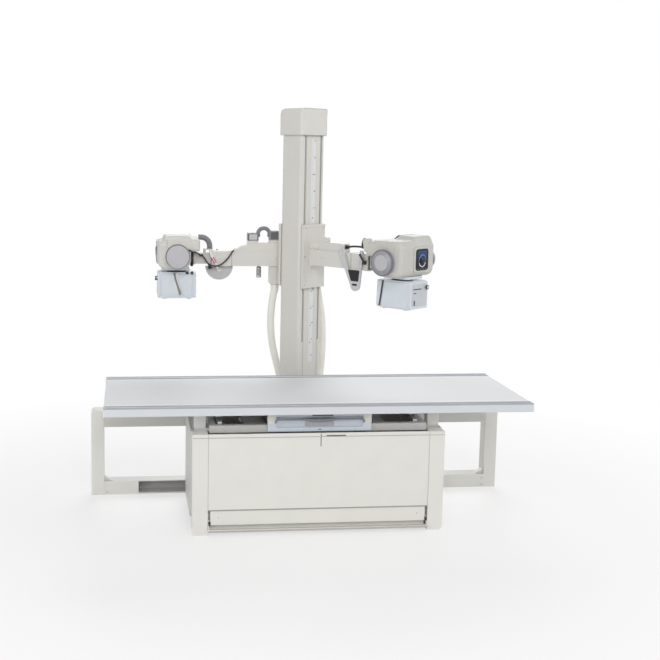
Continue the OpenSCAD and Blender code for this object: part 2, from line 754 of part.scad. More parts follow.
// the left arm turns away from the rear plate, and carries the left hose's socket
module left_outer_arm() color(warm_white) {
    at_left_arm() outer_arm(left_x0);
    difference() {
        at_left_arm() union() {
            box([-90, -arm_w / 2, -arm_h / 2], [left_x0, arm_w / 2, arm_h / 2]);
            slab_xz(-30, 30)
                polygon(round_box(left_x0 - 4, -160, left_x0 + 66, -arm_h / 2, [12, 12, 0.5, 0.5]));
        }
        at_column() box([-plate_x1, -300, 0], [400, 300, 3000]);
        at_hoses() translate([left_hose_pts[0][0], left_hose_pts[0][1], 0])
            cylinder(h = left_hose_pts[0][2], r = 60);
    }
    at_hoses() translate(left_hose_pts[0]) cylinder(h = 24, r = hose_d / 2 + 5);
    // clip of the black cable
    at_left_arm() box([395, 36, arm_h / 2 - 1], [407, 54, arm_h / 2 + 17]);
}

cover_z1 = arm_h / 2 + 50;

module right_arm_cover() color(warm_white) at_right_arm() {
    slab_xz(-34, 34) polygon(round_box(168, arm_h / 2, 350, cover_z1, [1, 1, 16, 16]));
    slab_xz(-28, 8) polygon(round_box(174, cover_z1, 220, cover_z1 + 30, [1, 1, 14, 5]));
}

module left_arm_cover() color(warm_white) at_left_arm() {
    slab_xz(-38, 38) polygon(round_box(128, arm_h / 2, 350, cover_z1, [1, 1, 22, 6]));
    slab_xz(-30, 30) polygon(round_box(256, cover_z1, 320, cover_z1 + 58, [1, 1, 6, 6]));
    slab_xz(-30, 30) polygon(round_box(130, cover_z1, 186, cover_z1 + 72, [1, 1, 6, 6]));
}

// a V-shaped pull handle that hangs from the right arm, with a pad across it
stirrup_y0 = arm_w / 2 + 6;
stirrup_t = 12;

module right_stirrup() color(cool_white) at_right_arm() {
    translate([0, -stirrup_y0 - stirrup_t, 0]) {
        difference() {
            slab_xz(0, stirrup_t) polygon(concat([[338, 58], [346, 68], [512, 68], [520, 58]],
                arc(466, -136, 34, 0, -180, 10)));
            slab_xz(-1, stirrup_t + 1) polygon([[370, 80], [498, 80], [493, -46], [416, -46]]);
        }
    }
    // lugs to the arm's side, at the top of each leg
    for (x = [368, 506])
        bar_y(-stirrup_y0, -arm_w / 2, 6, x, 28);
}

// the dial that hangs under the left arm's end
module left_arm_disc() color(pale_grey) at_left_arm() difference() {
    bar_y(-15, 15, disc_r, disc_x, -arm_h / 2 - 3);
    box([disc_x - disc_r - 1, -16, -arm_h / 2 - 3], [disc_x + disc_r + 1, 16, 100]);
}

knob_x = 248;

module left_lock_knob() color(near_black) at_left_arm() {
    translate([knob_x, 0, -arm_h / 2 - 74]) cylinder(h = 66, r = 15);
    translate([knob_x, 0, -arm_h / 2 - 9]) cylinder(h = 9 - eps, r = 9);
}

// an inner arm, with the bracket that carries cables over the outer arm's collar
module inner_arm() {
    box([rest_x1 - 14, -18, inner / 2], [rest_x1, 18, rest_z - 6]);
    box([rest_x0, -18, rest_z - 6], [rest_x1, 18, rest_z]);
    difference() {
        box([inner_x0, -inner / 2, -inner / 2], [hub_x - 8, inner / 2, inner / 2]);
        box([inner_x0 - 1, -inner / 2 + 5, -inner / 2 + 5], [hub_x - 20, inner / 2 - 5, inner / 2 - 5]);
    }
    bar_x(hub_x - 8, hub_x, 42);
    bar_x(hub_x, hub_x + 44, pin_r);
}

module right_inner_arm() color(pale_grey) at_right_arm() inner_arm();
module left_inner_arm() color(pale_grey) at_left_arm() {
    inner_arm();
    // clip of the black cable
    box([clip_x, inner / 2 - 1, 14], [clip_x + 14, 64, 30]);
}

// ---------------------------------------------------------------- tube heads

// housing with its end caps, trunnion boss and X-ray port
rear_end = 38;

module tube_housing() difference() {
    union() {
        translate([head_r, 0, head_z]) {
            bar_y(-tube_y + cap_t, tube_y - cap_t, tube_r);
            bar_y(-tube_y, -tube_y + cap_t, tube_r + 2);
            bar_y(tube_y - cap_t, tube_y, tube_r + 2);
        }
        bar_x(hub_x + eps, head_r - 30, 38);
        translate([head_r, 0, coll_z1]) cylinder(h = 40, r = port_r);
    }
    bar_x(hub_x - 1, hub_x + 46, pin_r + run);
    translate([head_r, 0, coll_z1 - 1]) cylinder(h = 19, r = 30 + run);
}

module right_tube_housing() color(pale_grey) at_right_arm() {
    tube_housing();
    // its narrower rear end
    translate([head_r, 0, head_z]) bar_y(tube_y - 4, tube_y + rear_end, 56);
}
module left_tube_housing() color(pale_grey) at_left_arm() tube_housing();

cover_x0 = -82;
cover_x1 = 116;
over_x0 = -137;
over_z0 = 50;
cover_z0 = -55;
low_top = 145;
high_top = 168;
cover_wall = 5;

module head_section(top, inset) {
    c = inset;
    polygon(round_box(cover_x0 + c, cover_z0 + c, cover_x1 - c, 80, [40 - c, 72 - c, 1, 1]));
    polygon(round_box(over_x0 + c, over_z0 + c, cover_x1 - c, top - c, [6, 1, 16 - c, 14 - c]));
}

module head_cover() translate([head_r, 0, 0]) difference() {
    union() {
        slab_xz(-cover_y, -20) head_section(low_top, 0);
        slab_xz(-20, cover_y - 4) head_section(high_top, 0);
    }
    slab_xz(-cover_y + cover_wall, -20 + 0.01) head_section(low_top, cover_wall);
    slab_xz(-20, cover_y - 4 - cover_wall) head_section(high_top, cover_wall);
    bar_y(-cover_y - 1, cover_y + 1, tube_r + 0.2, 0, head_z);
    bar_x(cover_x0 - 60, cover_x0 + 40, 38.2);
    translate([0, 0, -90]) cylinder(h = 60, r = port_r + 0.2);
}

module right_head_cover() color(warm_white) at_right_arm() head_cover();
module left_head_cover() color(warm_white) at_left_arm() head_cover();

console_z = 40;
console_y = 8;
console_s = 142;

module console() translate([head_r + cover_x1, console_y, console_z]) {
    slab_yz(0, 7) polygon(round_box(-console_s / 2, -console_s / 2, console_s / 2, console_s / 2,
        [22, 22, 22, 22]));
    slab_yz(7, 8.5) polygon(round_box(-59, -59, 59, 59, [16, 16, 16, 16]));
}

module right_console() color(near_black) at_right_arm() console();
module left_console() color(near_black) at_left_arm() console();

// collimator: a box with splayed cheeks and a spigot that turns in the port
cheek = 14;

module collimator() translate([head_r, 0, 0]) {
    z1 = coll_z1 - eps;
    difference() {
        union() {
            slab_xz(-coll_d / 2 + 6, coll_d / 2 - 6) polygon([[-coll_w / 2 + cheek, coll_z0 + 10],
                [-coll_w / 2 + cheek + 6, coll_z0], [coll_w / 2 - cheek - 6, coll_z0],
                [coll_w / 2 - cheek, coll_z0 + 10], [coll_w / 2 - cheek, z1], [-coll_w / 2 + cheek, z1]]);
            both_x() slab_yz(coll_w / 2 - cheek, coll_w / 2)
                polygon([[-coll_d / 2, coll_z0 + 12], [-coll_d / 2 + 8, coll_z0 + 4],
                    [coll_d / 2 - 8, coll_z0 + 4], [coll_d / 2, coll_z0 + 12],
                    [coll_d / 2 - 4, z1 - 4], [-coll_d / 2 + 4, z1 - 4]]);
        }
        // window for the light field
        box([-45, -45, coll_z0 - 1], [45, 45, coll_z0 + 14]);
        bar_x(coll_w / 2 - cheek - 8, coll_w / 2 + 1, 4 + run, knob_y, knob_z);
    }
    translate([0, 0, z1]) cylinder(h = 16, r = 30);
}

module right_collimator() color(cool_white) at_right_arm() collimator();
module left_collimator() color(cool_white) at_left_arm() collimator();

module field_knob() translate([head_r + coll_w / 2, knob_y, knob_z]) {
    bar_x(eps, 16, 13);
    bar_x(-cheek - 4, eps, 4);
}

module right_knob() color(dark_grey) at_right_arm() field_knob();
module left_knob() color(dark_grey) at_left_arm() field_knob();

// ---------------------------------------------------------------- hoses and cables

module left_hose() color(cool_white) at_hoses() swept_tube(left_hose_pts, hose_d / 2, [1, 0, 0]);
module right_hose() color(cool_white) at_hoses() swept_tube(right_hose_pts, hose_d / 2, [1, 0, 0]);
module left_elbow() color(pale_grey) at_left_arm() swept_tube(elbow_pts, 13, [0, 1, 0]);
module left_cable() color(near_black) at_left_arm() swept_tube(left_cable_pts, 4.5, [0, 1, 0], 8);
module right_cable() color(near_black) at_right_arm() swept_tube(right_cable_pts, 6, [0, 1, 0], 8);

pedestal_base();
left_leg();
right_leg();
front_panel();
kick_panel();
side_panels();
rear_panel();
lift_outer_columns();
foot_bar();
floor_rail();
upper_rail();
end_posts();
rail_fittings();
lift_frame();
cross_rails();
lift_inner_columns();
float_carriage();
float_rollers();
tabletop_panel();
front_rail();
rear_rail();
slide_rails();
bucky_housing();
cassette_tray();
drawer_front();
trolley();
left_wheel();
right_wheel();
column_profile();
column_cap();
scale_strip();
top_pulley();
counterweight();
lift_cable();
carriage();
carriage_rollers();
right_outer_arm();
left_outer_arm();
right_arm_cover();
left_arm_cover();
right_stirrup();
left_arm_disc();
left_lock_knob();
right_inner_arm();
left_inner_arm();
right_tube_housing();
left_tube_housing();
right_head_cover();
left_head_cover();
right_console();
left_console();
right_collimator();
left_collimator();
right_knob();
left_knob();
left_hose();
right_hose();
left_elbow();
left_cable();
right_cable();
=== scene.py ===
# Radiography room machine: covers, rails, tube heads, hoses and fittings over the machine's frame.
import json
import math
from itertools import product

import bmesh
import bpy
from mathutils import Matrix, Vector


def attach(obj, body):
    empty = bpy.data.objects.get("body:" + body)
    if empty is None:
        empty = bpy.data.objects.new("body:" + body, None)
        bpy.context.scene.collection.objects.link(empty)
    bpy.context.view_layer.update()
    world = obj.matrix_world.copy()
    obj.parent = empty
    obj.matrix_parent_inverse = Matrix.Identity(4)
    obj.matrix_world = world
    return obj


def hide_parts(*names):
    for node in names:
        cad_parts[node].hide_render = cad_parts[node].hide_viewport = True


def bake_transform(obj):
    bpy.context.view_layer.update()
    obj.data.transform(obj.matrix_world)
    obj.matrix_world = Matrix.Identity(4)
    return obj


bl_info = {
    "name": "Radiography Room Machine",
    "version": (1, 0, 0),
    "blender": (4, 5, 0),
    "location": "View3D > Sidebar > Radiography",
    "description": "Builds a floating table on its pedestal and a column stand with two tube heads",
    "category": "Add Mesh",
}

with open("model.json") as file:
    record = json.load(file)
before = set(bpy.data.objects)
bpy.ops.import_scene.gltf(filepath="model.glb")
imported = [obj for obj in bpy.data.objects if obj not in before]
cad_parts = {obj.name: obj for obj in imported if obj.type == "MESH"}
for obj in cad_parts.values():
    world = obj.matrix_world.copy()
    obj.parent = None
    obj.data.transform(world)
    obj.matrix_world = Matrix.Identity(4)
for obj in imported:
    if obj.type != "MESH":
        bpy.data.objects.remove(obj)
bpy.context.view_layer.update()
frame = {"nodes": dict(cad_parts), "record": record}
BODY_OF = {n: body for body, nodes in frame["record"]["behaviour"]["bodies"].items() for n in nodes}
SLOT_OF = {s["node"]: s["material_slot"] for s in frame["record"]["subparts"]}

# ------------------------------------------------------------------ places

# Sizes below are in millimetres, each in the frame of the part it belongs to: the room's, the
# turned column's, or an arm's, whose X runs out along the arm and whose Z is 0 on its axis.
MILLIMETRE = 0.001
ROOM = Matrix.Scale(MILLIMETRE, 4)
METRES = Matrix.Identity(4)
COLUMN_X, COLUMN_Y, COLUMN_TURN = 35, 640, -50
RIGHT_ARM_Z, LEFT_ARM_Y, LEFT_ARM_Z = 1407, 750, 1380


def frame_at(x, y, z, turn):
    """A frame in millimetres, turned about its upright by an angle in degrees."""
    return (Matrix.Translation(Vector((x, y, z)) * MILLIMETRE)
            @ Matrix.Rotation(math.radians(turn), 4, "Z") @ ROOM)


COLUMN = frame_at(COLUMN_X, COLUMN_Y, 0, COLUMN_TURN)
COLUMN_METRES = COLUMN @ ROOM.inverted()
RIGHT = frame_at(COLUMN_X, COLUMN_Y, RIGHT_ARM_Z, COLUMN_TURN)
LEFT = frame_at(COLUMN_X, LEFT_ARM_Y, LEFT_ARM_Z, 180)
ARMS = (("right", RIGHT), ("left", LEFT))
HEAD, TUBE_Z, RIDGE = 757, 25, -20  # a head's middle along its arm, its tube's height, its step
KNOB = (63, -118)  # a collimator's field knob: y and z of its axis
AXES = {"x": Matrix(((0, 0, 1, 0), (1, 0, 0, 0), (0, 1, 0, 0), (0, 0, 0, 1))),
        "y": Matrix(((0, 1, 0, 0), (0, 0, 1, 0), (1, 0, 0, 0), (0, 0, 0, 1))),
        "z": Matrix.Identity(4)}


def linear(red, green, blue):
    """A screen colour from 0 to 255, as the shaders want it."""
    def one(c):
        c /= 255
        return c / 12.92 if c <= 0.04045 else ((c + 0.055) / 1.055) ** 2.4
    return (one(red), one(green), one(blue))


def side_pair(inner, outer):
    """The same span on both sides of the middle: side, lower end and upper end."""
    return [(s, *sorted((s * inner, s * outer))) for s in (-1, 1)]


def grid(*spans):
    """Every place with these coordinates; each is a number or a row of them."""
    return list(product(*(s if hasattr(s, "__len__") else (s,) for s in spans)))


# ------------------------------------------------------------------ what a user can change

class PaintSettings(bpy.types.PropertyGroup):
    """Colours of the machine's finishes"""
    warm_white: bpy.props.FloatVectorProperty(
        name="Warm White", description="Powder coat of the pedestal and the posts",
        subtype="COLOR", size=3, min=0, max=1, default=linear(229, 228, 222))
    cool_white: bpy.props.FloatVectorProperty(
        name="Cool White", description="Laminate of the tabletop and of the scale's strip",
        subtype="COLOR", size=3, min=0, max=1, default=linear(229, 230, 232))
    pale_grey: bpy.props.FloatVectorProperty(
        name="Pale Grey", description="Paint of the side panels, the trolley and the lifting frame",
        subtype="COLOR", size=3, min=0, max=1, default=linear(210, 209, 206))
    stand_white: bpy.props.FloatVectorProperty(
        name="Stand White", description="Coat of the column, its carriage, the arms and the heads",
        subtype="COLOR", size=3, min=0, max=1, default=linear(215, 213, 207))
    lilac_grey: bpy.props.FloatVectorProperty(
        name="Lilac Grey", description="Castings of the tube housings",
        subtype="COLOR", size=3, min=0, max=1, default=linear(178, 177, 186))
    marker: bpy.props.FloatVectorProperty(
        name="Marker Bands", description="Two bands along the sleeve of the left arm",
        subtype="COLOR", size=3, min=0, max=1, default=linear(199, 62, 142))


class ShapeSettings(bpy.types.PropertyGroup):
    """Sizes of hoses and small hardware, and the light"""
    hose_diameter: bpy.props.FloatProperty(
        name="Hose Diameter", description="Outside diameter of the two main hoses",
        unit="LENGTH", min=0.03, max=0.06, default=0.044)
    cable_diameter: bpy.props.FloatProperty(
        name="Right Lead Diameter", description="Outside diameter of the right arm's black lead",
        unit="LENGTH", min=0.006, max=0.02, default=0.012)
    lead_diameter: bpy.props.FloatProperty(
        name="Left Lead Diameter", description="Outside diameter of the left arm's black lead",
        unit="LENGTH", min=0.005, max=0.012, default=0.009)
    screw_radius: bpy.props.FloatProperty(
        name="Screw Radius", description="Radius of a cover screw's head",
        unit="LENGTH", min=0.002, max=0.01, default=0.0042)
    lamp_power: bpy.props.FloatProperty(
        name="Key Lamp", description="Power of the large lamp over the machine, in watts",
        min=10, max=2000, default=310)


# ------------------------------------------------------------------ nodes and finishes

def add_node(tree, kind, *places, **names):
    """Adds a node, with its inputs by place, and its settings and inputs by name."""
    made = tree.nodes.new(kind)
    for key, value in (*names.items(), *enumerate(places)):
        socket = key if isinstance(key, int) else key.replace("_", " ")
        if isinstance(key, str) and socket not in made.inputs:
            setattr(made, key, value)
        elif isinstance(value, bpy.types.NodeSocket):
            tree.links.new(value, made.inputs[socket])
        else:
            made.inputs[socket].default_value = value
    return made


def add_ramp(tree, value, first, last, start=0.0, end=1.0):
    """Blends between two colours while the value goes from start to end."""
    ramp = add_node(tree, "ShaderNodeValToRGB", value)
    for stop, spot, colour in zip(ramp.color_ramp.elements, (start, end), (first, last)):
        stop.position, stop.color = spot, (*colour, 1)
    return ramp.outputs["Color"]


# Each finish: its colour, as a user's paint or from 0 to 255 on a screen, the slot of a new piece,
# roughness, metal, clear coat, drift of its tone and the drift's scale, grain and the grain's
# relief, and what else differs from usual.
DRAWN = (0.05, 1, 1)
FINISHES = {
    "warm_white_powder_coat": ("warm_white", "white_cover", 0.42, 0, 0.15, 0.025, 3.5, 520, 0.05),
    "moulded_warm_white": ("warm_white", "white_cover", 0.36, 0, 0.25, 0.02, 9, 1500, 0.025),
    "stand_coat": ("stand_white", "white_cover", 0.42, 0, 0.12, 0.022, 3, 300, 0.04,
                   {"stretch": (1, 1, 0.04)}),
    # Painted shade: the two heads wear one coat, its colour darkened by a factor, the right head's
    # much more than the left's.
    "left_head_coat": ("stand_white", "white_cover", 0.5, 0, 0.04, 0.025, 8, 1300, 0.03,
                       {"shine": 0.3, "age": 0.99}),
    "right_head_coat": ("stand_white", "white_cover", 0.5, 0, 0.04, 0.025, 8, 1300, 0.03,
                        {"shine": 0.3, "age": 0.87}),
    "inner_arm_coat": ((200, 197, 193), None, 0.4, 0.15, 0, 0.02, 5, 260, 0.04),
    "pale_grey_paint": ("pale_grey", None, 0.45, 0, 0, 0.03, 4, 600, 0.05),
    "dark_grey_paint": ((92, 92, 96), "black_plastic", 0.55, 0, 0, 0.06, 8, 700, 0.06,
                        {"wear": 0.25}),
    "tabletop_laminate": ("cool_white", None, 0.62, 0, 0, 0.03, 1.6, 2200, 0.02, {"shine": 0.2}),
    "edge_strip_white": ((232, 234, 237), "white_cover", 0.6, 0, 0, 0.02, 4, 1300, 0.02,
                         {"shine": 0.2}),
    "table_rail_coat": ((214, 218, 223), None, 0.34, 0.1, 0.3, 0.02, 4, 420, 0.03,
                        {"stretch": DRAWN}),
    # Partly painted shade: this grey lies on the rails' tops, lip and edge, and on each groove's
    # floor, where it stands for the groove's shade.
    "rail_band_grey": ((174, 177, 181), "aluminium", 0.7, 0, 0, 0.03, 5, 500, 0.03,
                       {"stretch": DRAWN, "shine": 0.12}),
    "rail_extrusion": ((206, 205, 200), "aluminium", 0.38, 0.15, 0, 0.02, 5, 260, 0.04,
                       {"stretch": (0.04, 1, 1)}),
    # Painted shade: a grey sheet at the back of the floor rail's channel, darker than the rail,
    # stands for the shade inside it.
    "channel_grey": ((184, 181, 184), "dark_paint", 0.6, 0, 0, 0.06, 3, 700, 0.02, {"shine": 0.2}),
    "seam_grey": ((158, 157, 154), "grey_plastic", 0.55, 0, 0, 0.04, 12, 900, 0.02),
    "dark_recess": ((70, 71, 75), "black_plastic", 0.6, 0, 0, 0.06, 30, 900, 0.02),
    "scale_ink": ((96, 104, 122), "black_plastic", 0.5, 0, 0, 0.05, 60, 900, 0),
    "foot_bar_satin": ((186, 182, 177), None, 0.42, 0.35, 0, 0.03, 9, 420, 0.03),
    "drawer_front_shell": ((205, 212, 222), None, 0.33, 0, 0.3, 0.02, 10, 1500, 0.02),
    # Painted shade: the bow handle is painted a darker grey to stand for the shade along its
    # underside.
    "grip_satin": ((140, 140, 146), "grey_plastic", 0.4, 0.25, 0, 0.04, 14, 700, 0.03),
    # Painted shade: the grip well's grey stands for the shade that the tabletop's edge casts into
    # it.
    "well_grey": ((176, 177, 184), "grey_plastic", 0.4, 0, 0, 0.03, 12, 1400, 0.02),
    "collimator_shell": ((214, 221, 227), "white_plastic", 0.34, 0, 0.3, 0.025, 14, 1700, 0.02),
    "cheek_grey": ((198, 202, 207), "white_plastic", 0.36, 0, 0.25, 0.03, 16, 1500, 0.02),
    "light_window": ((180, 190, 196), "white_plastic", 0.08, 0, 0.5, 0.02, 6, 500, 0,
                     {"rough_spread": 0.02, "alpha": 0.6}),
    "lilac_grey_casting": ("lilac_grey", "head_metal", 0.42, 0.1, 0.2, 0.03, 18, 900, 0.06),
    "cap_rim_grey": ((122, 123, 128), "head_metal", 0.4, 0.2, 0, 0.05, 20, 1200, 0.05),
    "cap_disc_face": ((186, 185, 191), "head_metal", 0.45, 0, 0.12, 0.03, 25, 1400, 0.02),
    "cap_band_grey": ((150, 150, 156), "head_metal", 0.34, 0.3, 0.2, 0.04, 25, 1400, 0.02),
    "mid_grey_moulding": ((140, 141, 146), "grey_plastic", 0.45, 0, 0, 0.05, 20, 1200, 0.05,
                          {"wear": 0.1}),
    "lid_grey": ((196, 196, 196), "grey_plastic", 0.42, 0, 0, 0.04, 24, 1300, 0.02),
    "dial_grey": ((188, 189, 192), None, 0.4, 0, 0.15, 0.04, 18, 1300, 0.02),
    "stirrup_grey": ((198, 199, 201), None, 0.4, 0.15, 0.15, 0.03, 14, 900, 0.03),
    "black_moulding": ((34, 34, 37), "black_plastic", 0.45, 0, 0, 0.1, 30, 2600, 0.12,
                       {"wear": 0.15}),
    "grip_rubber": ((30, 30, 33), "black_plastic", 0.7, 0, 0, 0.12, 40, 3200, 0.2),
    "display_glass": ((16, 17, 21), "black_plastic", 0.12, 0, 0, 0.05, 20, 300, 0,
                      {"rough_spread": 0.02, "shine": 0.25}),
    "console_light": ((16, 24, 42), "black_plastic", 0.14, 0, 0, 0.1, 60, 600, 0,
                      {"rough_spread": 0.02, "shine": 0.25}),
    "console_ring": ((206, 212, 222), "black_plastic", 0.3, 0, 0.3, 0.02, 6, 1200, 0.02),
    "console_halo": ((34, 66, 118), "black_plastic", 0.2, 0, 0.4, 0.05, 6, 900, 0.02,
                     {"glow": (0.06, 0.16, 0.42), "glow_power": 0.35}),
    "marker_band_ink": ("marker", "black_plastic", 0.4, 0, 0.2, 0.04, 6, 1500, 0.02),
    "cream_sleeve": ((240, 239, 231), "hose_rubber", 0.5, 0, 0.1, 0.03, 11, 1100, 0.06),
    "cable_jacket": ((38, 38, 40), "cable_rubber", 0.42, 0, 0, 0.08, 50, 2400, 0.08),
    "ground_steel": ((190, 191, 194), "steel", 0.3, 1, 0, 0.05, 12, 340, 0.03,
                     {"rough_spread": 0.1, "stretch": DRAWN}),
    "bright_plating": ((205, 206, 209), "steel", 0.18, 1, 0, 0.03, 30, 900, 0.01,
                       {"rough_spread": 0.05}),
    "knob_satin": ((150, 150, 152), None, 0.32, 0.7, 0, 0.04, 30, 700, 0.02),
    # Partly painted shadow: the lever is steel, painted a darker grey to stand for the shadow line
    # along the white guide.
    "lever_steel": ((128, 128, 133), "steel", 0.3, 0.6, 0, 0.04, 25, 800, 0.02),
    "cast_iron": ((66, 66, 68), None, 0.65, 0.4, 0, 0.15, 25, 260, 0.35),
}
USUAL = {"stretch": (1, 1, 1), "rough_spread": 0.06, "shine": 0.5, "age": 1, "wear": 0, "alpha": 1,
         "glow": None, "glow_power": 0}


def finish(look, name=None):
    """A coated, moulded or machined surface: slow drift of tone, fine grain in gloss and relief."""
    name = name or look
    found = bpy.data.materials.get(name)
    if found:
        return found
    colour, _, rough, metal, coat, tone, tone_scale, grain, bump, *rest = FINISHES[look]
    other = {**USUAL, **(rest[0] if rest else {})}
    colour = getattr(paint(), colour) if isinstance(colour, str) else linear(*colour)
    # Painted shade: the colour is darkened by a factor below 1, as on the heads' coats.
    colour = [c * other["age"] for c in colour]
    mat = bpy.data.materials.new(name)
    mat.use_nodes = True
    tree = mat.node_tree
    shader = tree.nodes["Principled BSDF"]
    place = add_node(tree, "ShaderNodeTexCoord").outputs["Object"]
    drift = add_node(tree, "ShaderNodeTexNoise", Vector=place, Scale=tone_scale, Detail=4)
    shade = add_ramp(tree, drift.outputs["Fac"], [c * (1 - tone) for c in colour],
                     [min(1, c * (1 + tone * 0.6)) for c in colour], 0.3, 0.72)
    if other["wear"]:
        edge = add_node(tree, "ShaderNodeNewGeometry")
        worn = add_node(tree, "ShaderNodeMapRange", Value=edge.outputs["Pointiness"],
                        From_Min=0.56, From_Max=0.66, To_Max=other["wear"])
        bare = add_node(tree, "ShaderNodeMix", worn.outputs["Result"], data_type="RGBA")
        tree.links.new(shade, bare.inputs[6])
        bare.inputs[7].default_value = (*[min(1, c * 1.5 + 0.04) for c in colour], 1)
        shade = bare.outputs[2]
    tree.links.new(shade, shader.inputs["Base Color"])
    stretched = add_node(tree, "ShaderNodeMapping", Vector=place, Scale=other["stretch"])
    fine = add_node(tree, "ShaderNodeTexNoise", Vector=stretched.outputs["Vector"], Scale=grain,
                    Detail=3).outputs["Fac"]
    spread = other["rough_spread"]
    gloss = add_node(tree, "ShaderNodeMapRange", Value=fine, To_Min=max(0.02, rough - spread),
                     To_Max=min(1, rough + spread))
    tree.links.new(gloss.outputs["Result"], shader.inputs["Roughness"])
    relief = add_node(tree, "ShaderNodeBump", Height=fine, Strength=bump,
                      Distance=MILLIMETRE)
    tree.links.new(relief.outputs["Normal"], shader.inputs["Normal"])
    for socket, value in (("Metallic", metal), ("Coat Weight", coat), ("Coat Roughness", 0.12),
                          ("Specular IOR Level", other["shine"]), ("Alpha", other["alpha"])):
        shader.inputs[socket].default_value = value
    if other["glow"]:
        shader.inputs["Emission Color"].default_value = (*other["glow"], 1)
        shader.inputs["Emission Strength"].default_value = other["glow_power"]
    return mat


def paint():
    return bpy.context.scene.radiography_paint


def shapes():
    return bpy.context.scene.radiography_shapes


# ------------------------------------------------------------------ shapes

def around(radius, angle):
    """The place at an angle, in radians, on a circle."""
    return radius * math.cos(angle), radius * math.sin(angle)


def rounded(x0, y0, x1, y1, radius, steps=6):
    """Outline of a box with round corners, anticlockwise from the lower left one."""
    r, out = radius, []
    for cx, cy, start in ((x0 + r, y0 + r, 180), (x1 - r, y0 + r, 270), (x1 - r, y1 - r, 0),
                          (x0 + r, y1 - r, 90)):
        for i in range(steps + 1):
            x, y = around(r, math.radians(start + 90 * i / steps))
            out.append((cx + x, cy + y))
    return out


def filleted(corners, steps=6):
    """Outline through (x, y, radius) corners, anticlockwise, each rounded as far as it fits."""
    out = []
    n = len(corners)
    for i, (x, y, r) in enumerate(corners):
        here = Vector((x, y))
        back = Vector(corners[i - 1][:2]) - here
        ahead = Vector(corners[(i + 1) % n][:2]) - here
        half = back.angle(ahead) / 2
        reach = min(r / math.tan(half), 0.48 * back.length, 0.48 * ahead.length)
        back, ahead = back.normalized(), ahead.normalized()
        centre = here + (back + ahead).normalized() * reach / math.cos(half)
        first, last = here + back * reach - centre, here + ahead * reach - centre
        turn = math.atan2(first.cross(last), first.dot(last))
        for k in range(steps + 1):
            a = turn * k / steps
            out.append((centre.x + first.x * math.cos(a) - first.y * math.sin(a),
                        centre.y + first.x * math.sin(a) + first.y * math.cos(a)))
    return out


def eased(start, end, radius, steps=5):
    """(place, inset) pairs that round both ends of a run by a quarter circle."""
    turns = [math.pi / 2 * k / steps for k in range(steps + 1)]
    near = [(start + radius * (1 - math.cos(t)), radius * (1 - math.sin(t))) for t in turns]
    far = [(end - radius * (1 - math.cos(t)), radius * (1 - math.sin(t))) for t in turns]
    return near, far[::-1]


class Shape:
    """A mesh being made, in millimetres, in the frame given by place."""

    def __init__(self, place=ROOM):
        self.bm = bmesh.new()
        self.place = place

    def loft(self, rings, closed=False):
        """Skins a row of rings of points, with flat ends or joined into a loop."""
        rows = [[self.bm.verts.new(p) for p in ring] for ring in rings]
        n = len(rows[0])
        for a, b in list(zip(rows, rows[1:])) + ([(rows[-1], rows[0])] if closed else []):
            for i in range(n):
                self.bm.faces.new((a[i], a[(i + 1) % n], b[(i + 1) % n], b[i]))
        if not closed:
            self.bm.faces.new(rows[0][::-1])
            self.bm.faces.new(rows[-1])
        return self

    def slab(self, outline, axis, start, end):
        """A flat outline pulled along an axis: (y, z) along x, (x, z) along y, (x, y) along z."""
        spot = {"x": lambda u, v, w: (w, u, v), "y": lambda u, v, w: (u, w, v),
                "z": lambda u, v, w: (u, v, w)}[axis]
        return self.loft([[spot(u, v, w) for u, v in outline] for w in (start, end)])

    def plate(self, x0, y0, x1, y1, radius, axis, start, end, steps=6):
        """A slab with the outline of a box with round corners."""
        return self.slab(rounded(x0, y0, x1, y1, radius, steps), axis, start, end)

    def block(self, low, high):
        """A square-cornered block between two corners."""
        (x0, y0, z0), (x1, y1, z1) = low, high
        return self.slab([(x0, y0), (x1, y0), (x1, y1), (x0, y1)], "z", z0, z1)

    def turned(self, profile, axis, centre, steps=40, ring=False):
        """A shape turned about an axis, from (radius, distance along it) pairs, or a ring."""
        turns = [2 * math.pi * i / steps for i in range(steps)]
        return self.loft([[Vector(centre) + AXES[axis] @ Vector((*around(max(r, 0.01), t), a))
                           for t in turns] for r, a in profile], ring)

    def tube(self, points, radius, steps=14):
        """A round tube along points; radius is a number or one for each point."""
        pts = [Vector(p) for p in points]
        radii = radius if hasattr(radius, "__len__") else [radius] * len(pts)
        rings, side = [], None
        for p, before, after, r in zip(pts, [pts[0], *pts], [*pts[1:], pts[-1]], radii):
            along = (after - before).normalized()
            side = side or along.orthogonal().normalized()
            side = (side - along * side.dot(along)).normalized()
            up = along.cross(side)
            rings.append([p + side * u + up * v for u, v in (
                around(r, 2 * math.pi * k / steps) for k in range(steps))])
        return self.loft(rings)

    def add(self, mesh):
        """Takes over another mesh, already in metres and in the room's frame, and drops it."""
        mesh.transform(self.place.inverted())
        self.bm.from_mesh(mesh)
        bpy.data.meshes.remove(mesh)
        return self

    def done(self, name, body, look, edge=0.0, segments=2, angle=32, nodes=(), slot=None,
             flip=True):
        """Makes the piece, finishes its edges, and hangs it on its body."""
        if flip:
            bmesh.ops.recalc_face_normals(self.bm, faces=self.bm.faces[:])
        mesh = bpy.data.meshes.new(name)
        self.bm.to_mesh(mesh)
        self.bm.free()
        mesh.transform(self.place)
        obj = new_object(name, mesh)
        mesh.materials.append(finish(look) if isinstance(look, str) else look)
        mesh.shade_smooth()
        if edge:
            round_edges(obj, edge, segments, angle)
        even = obj.modifiers.new("Even Shading", "WEIGHTED_NORMAL")
        even.weight, even.keep_sharp = 60, True
        if not edge:
            mesh.set_sharp_from_angle(angle=math.radians(angle))
        return hang(obj, body, nodes)


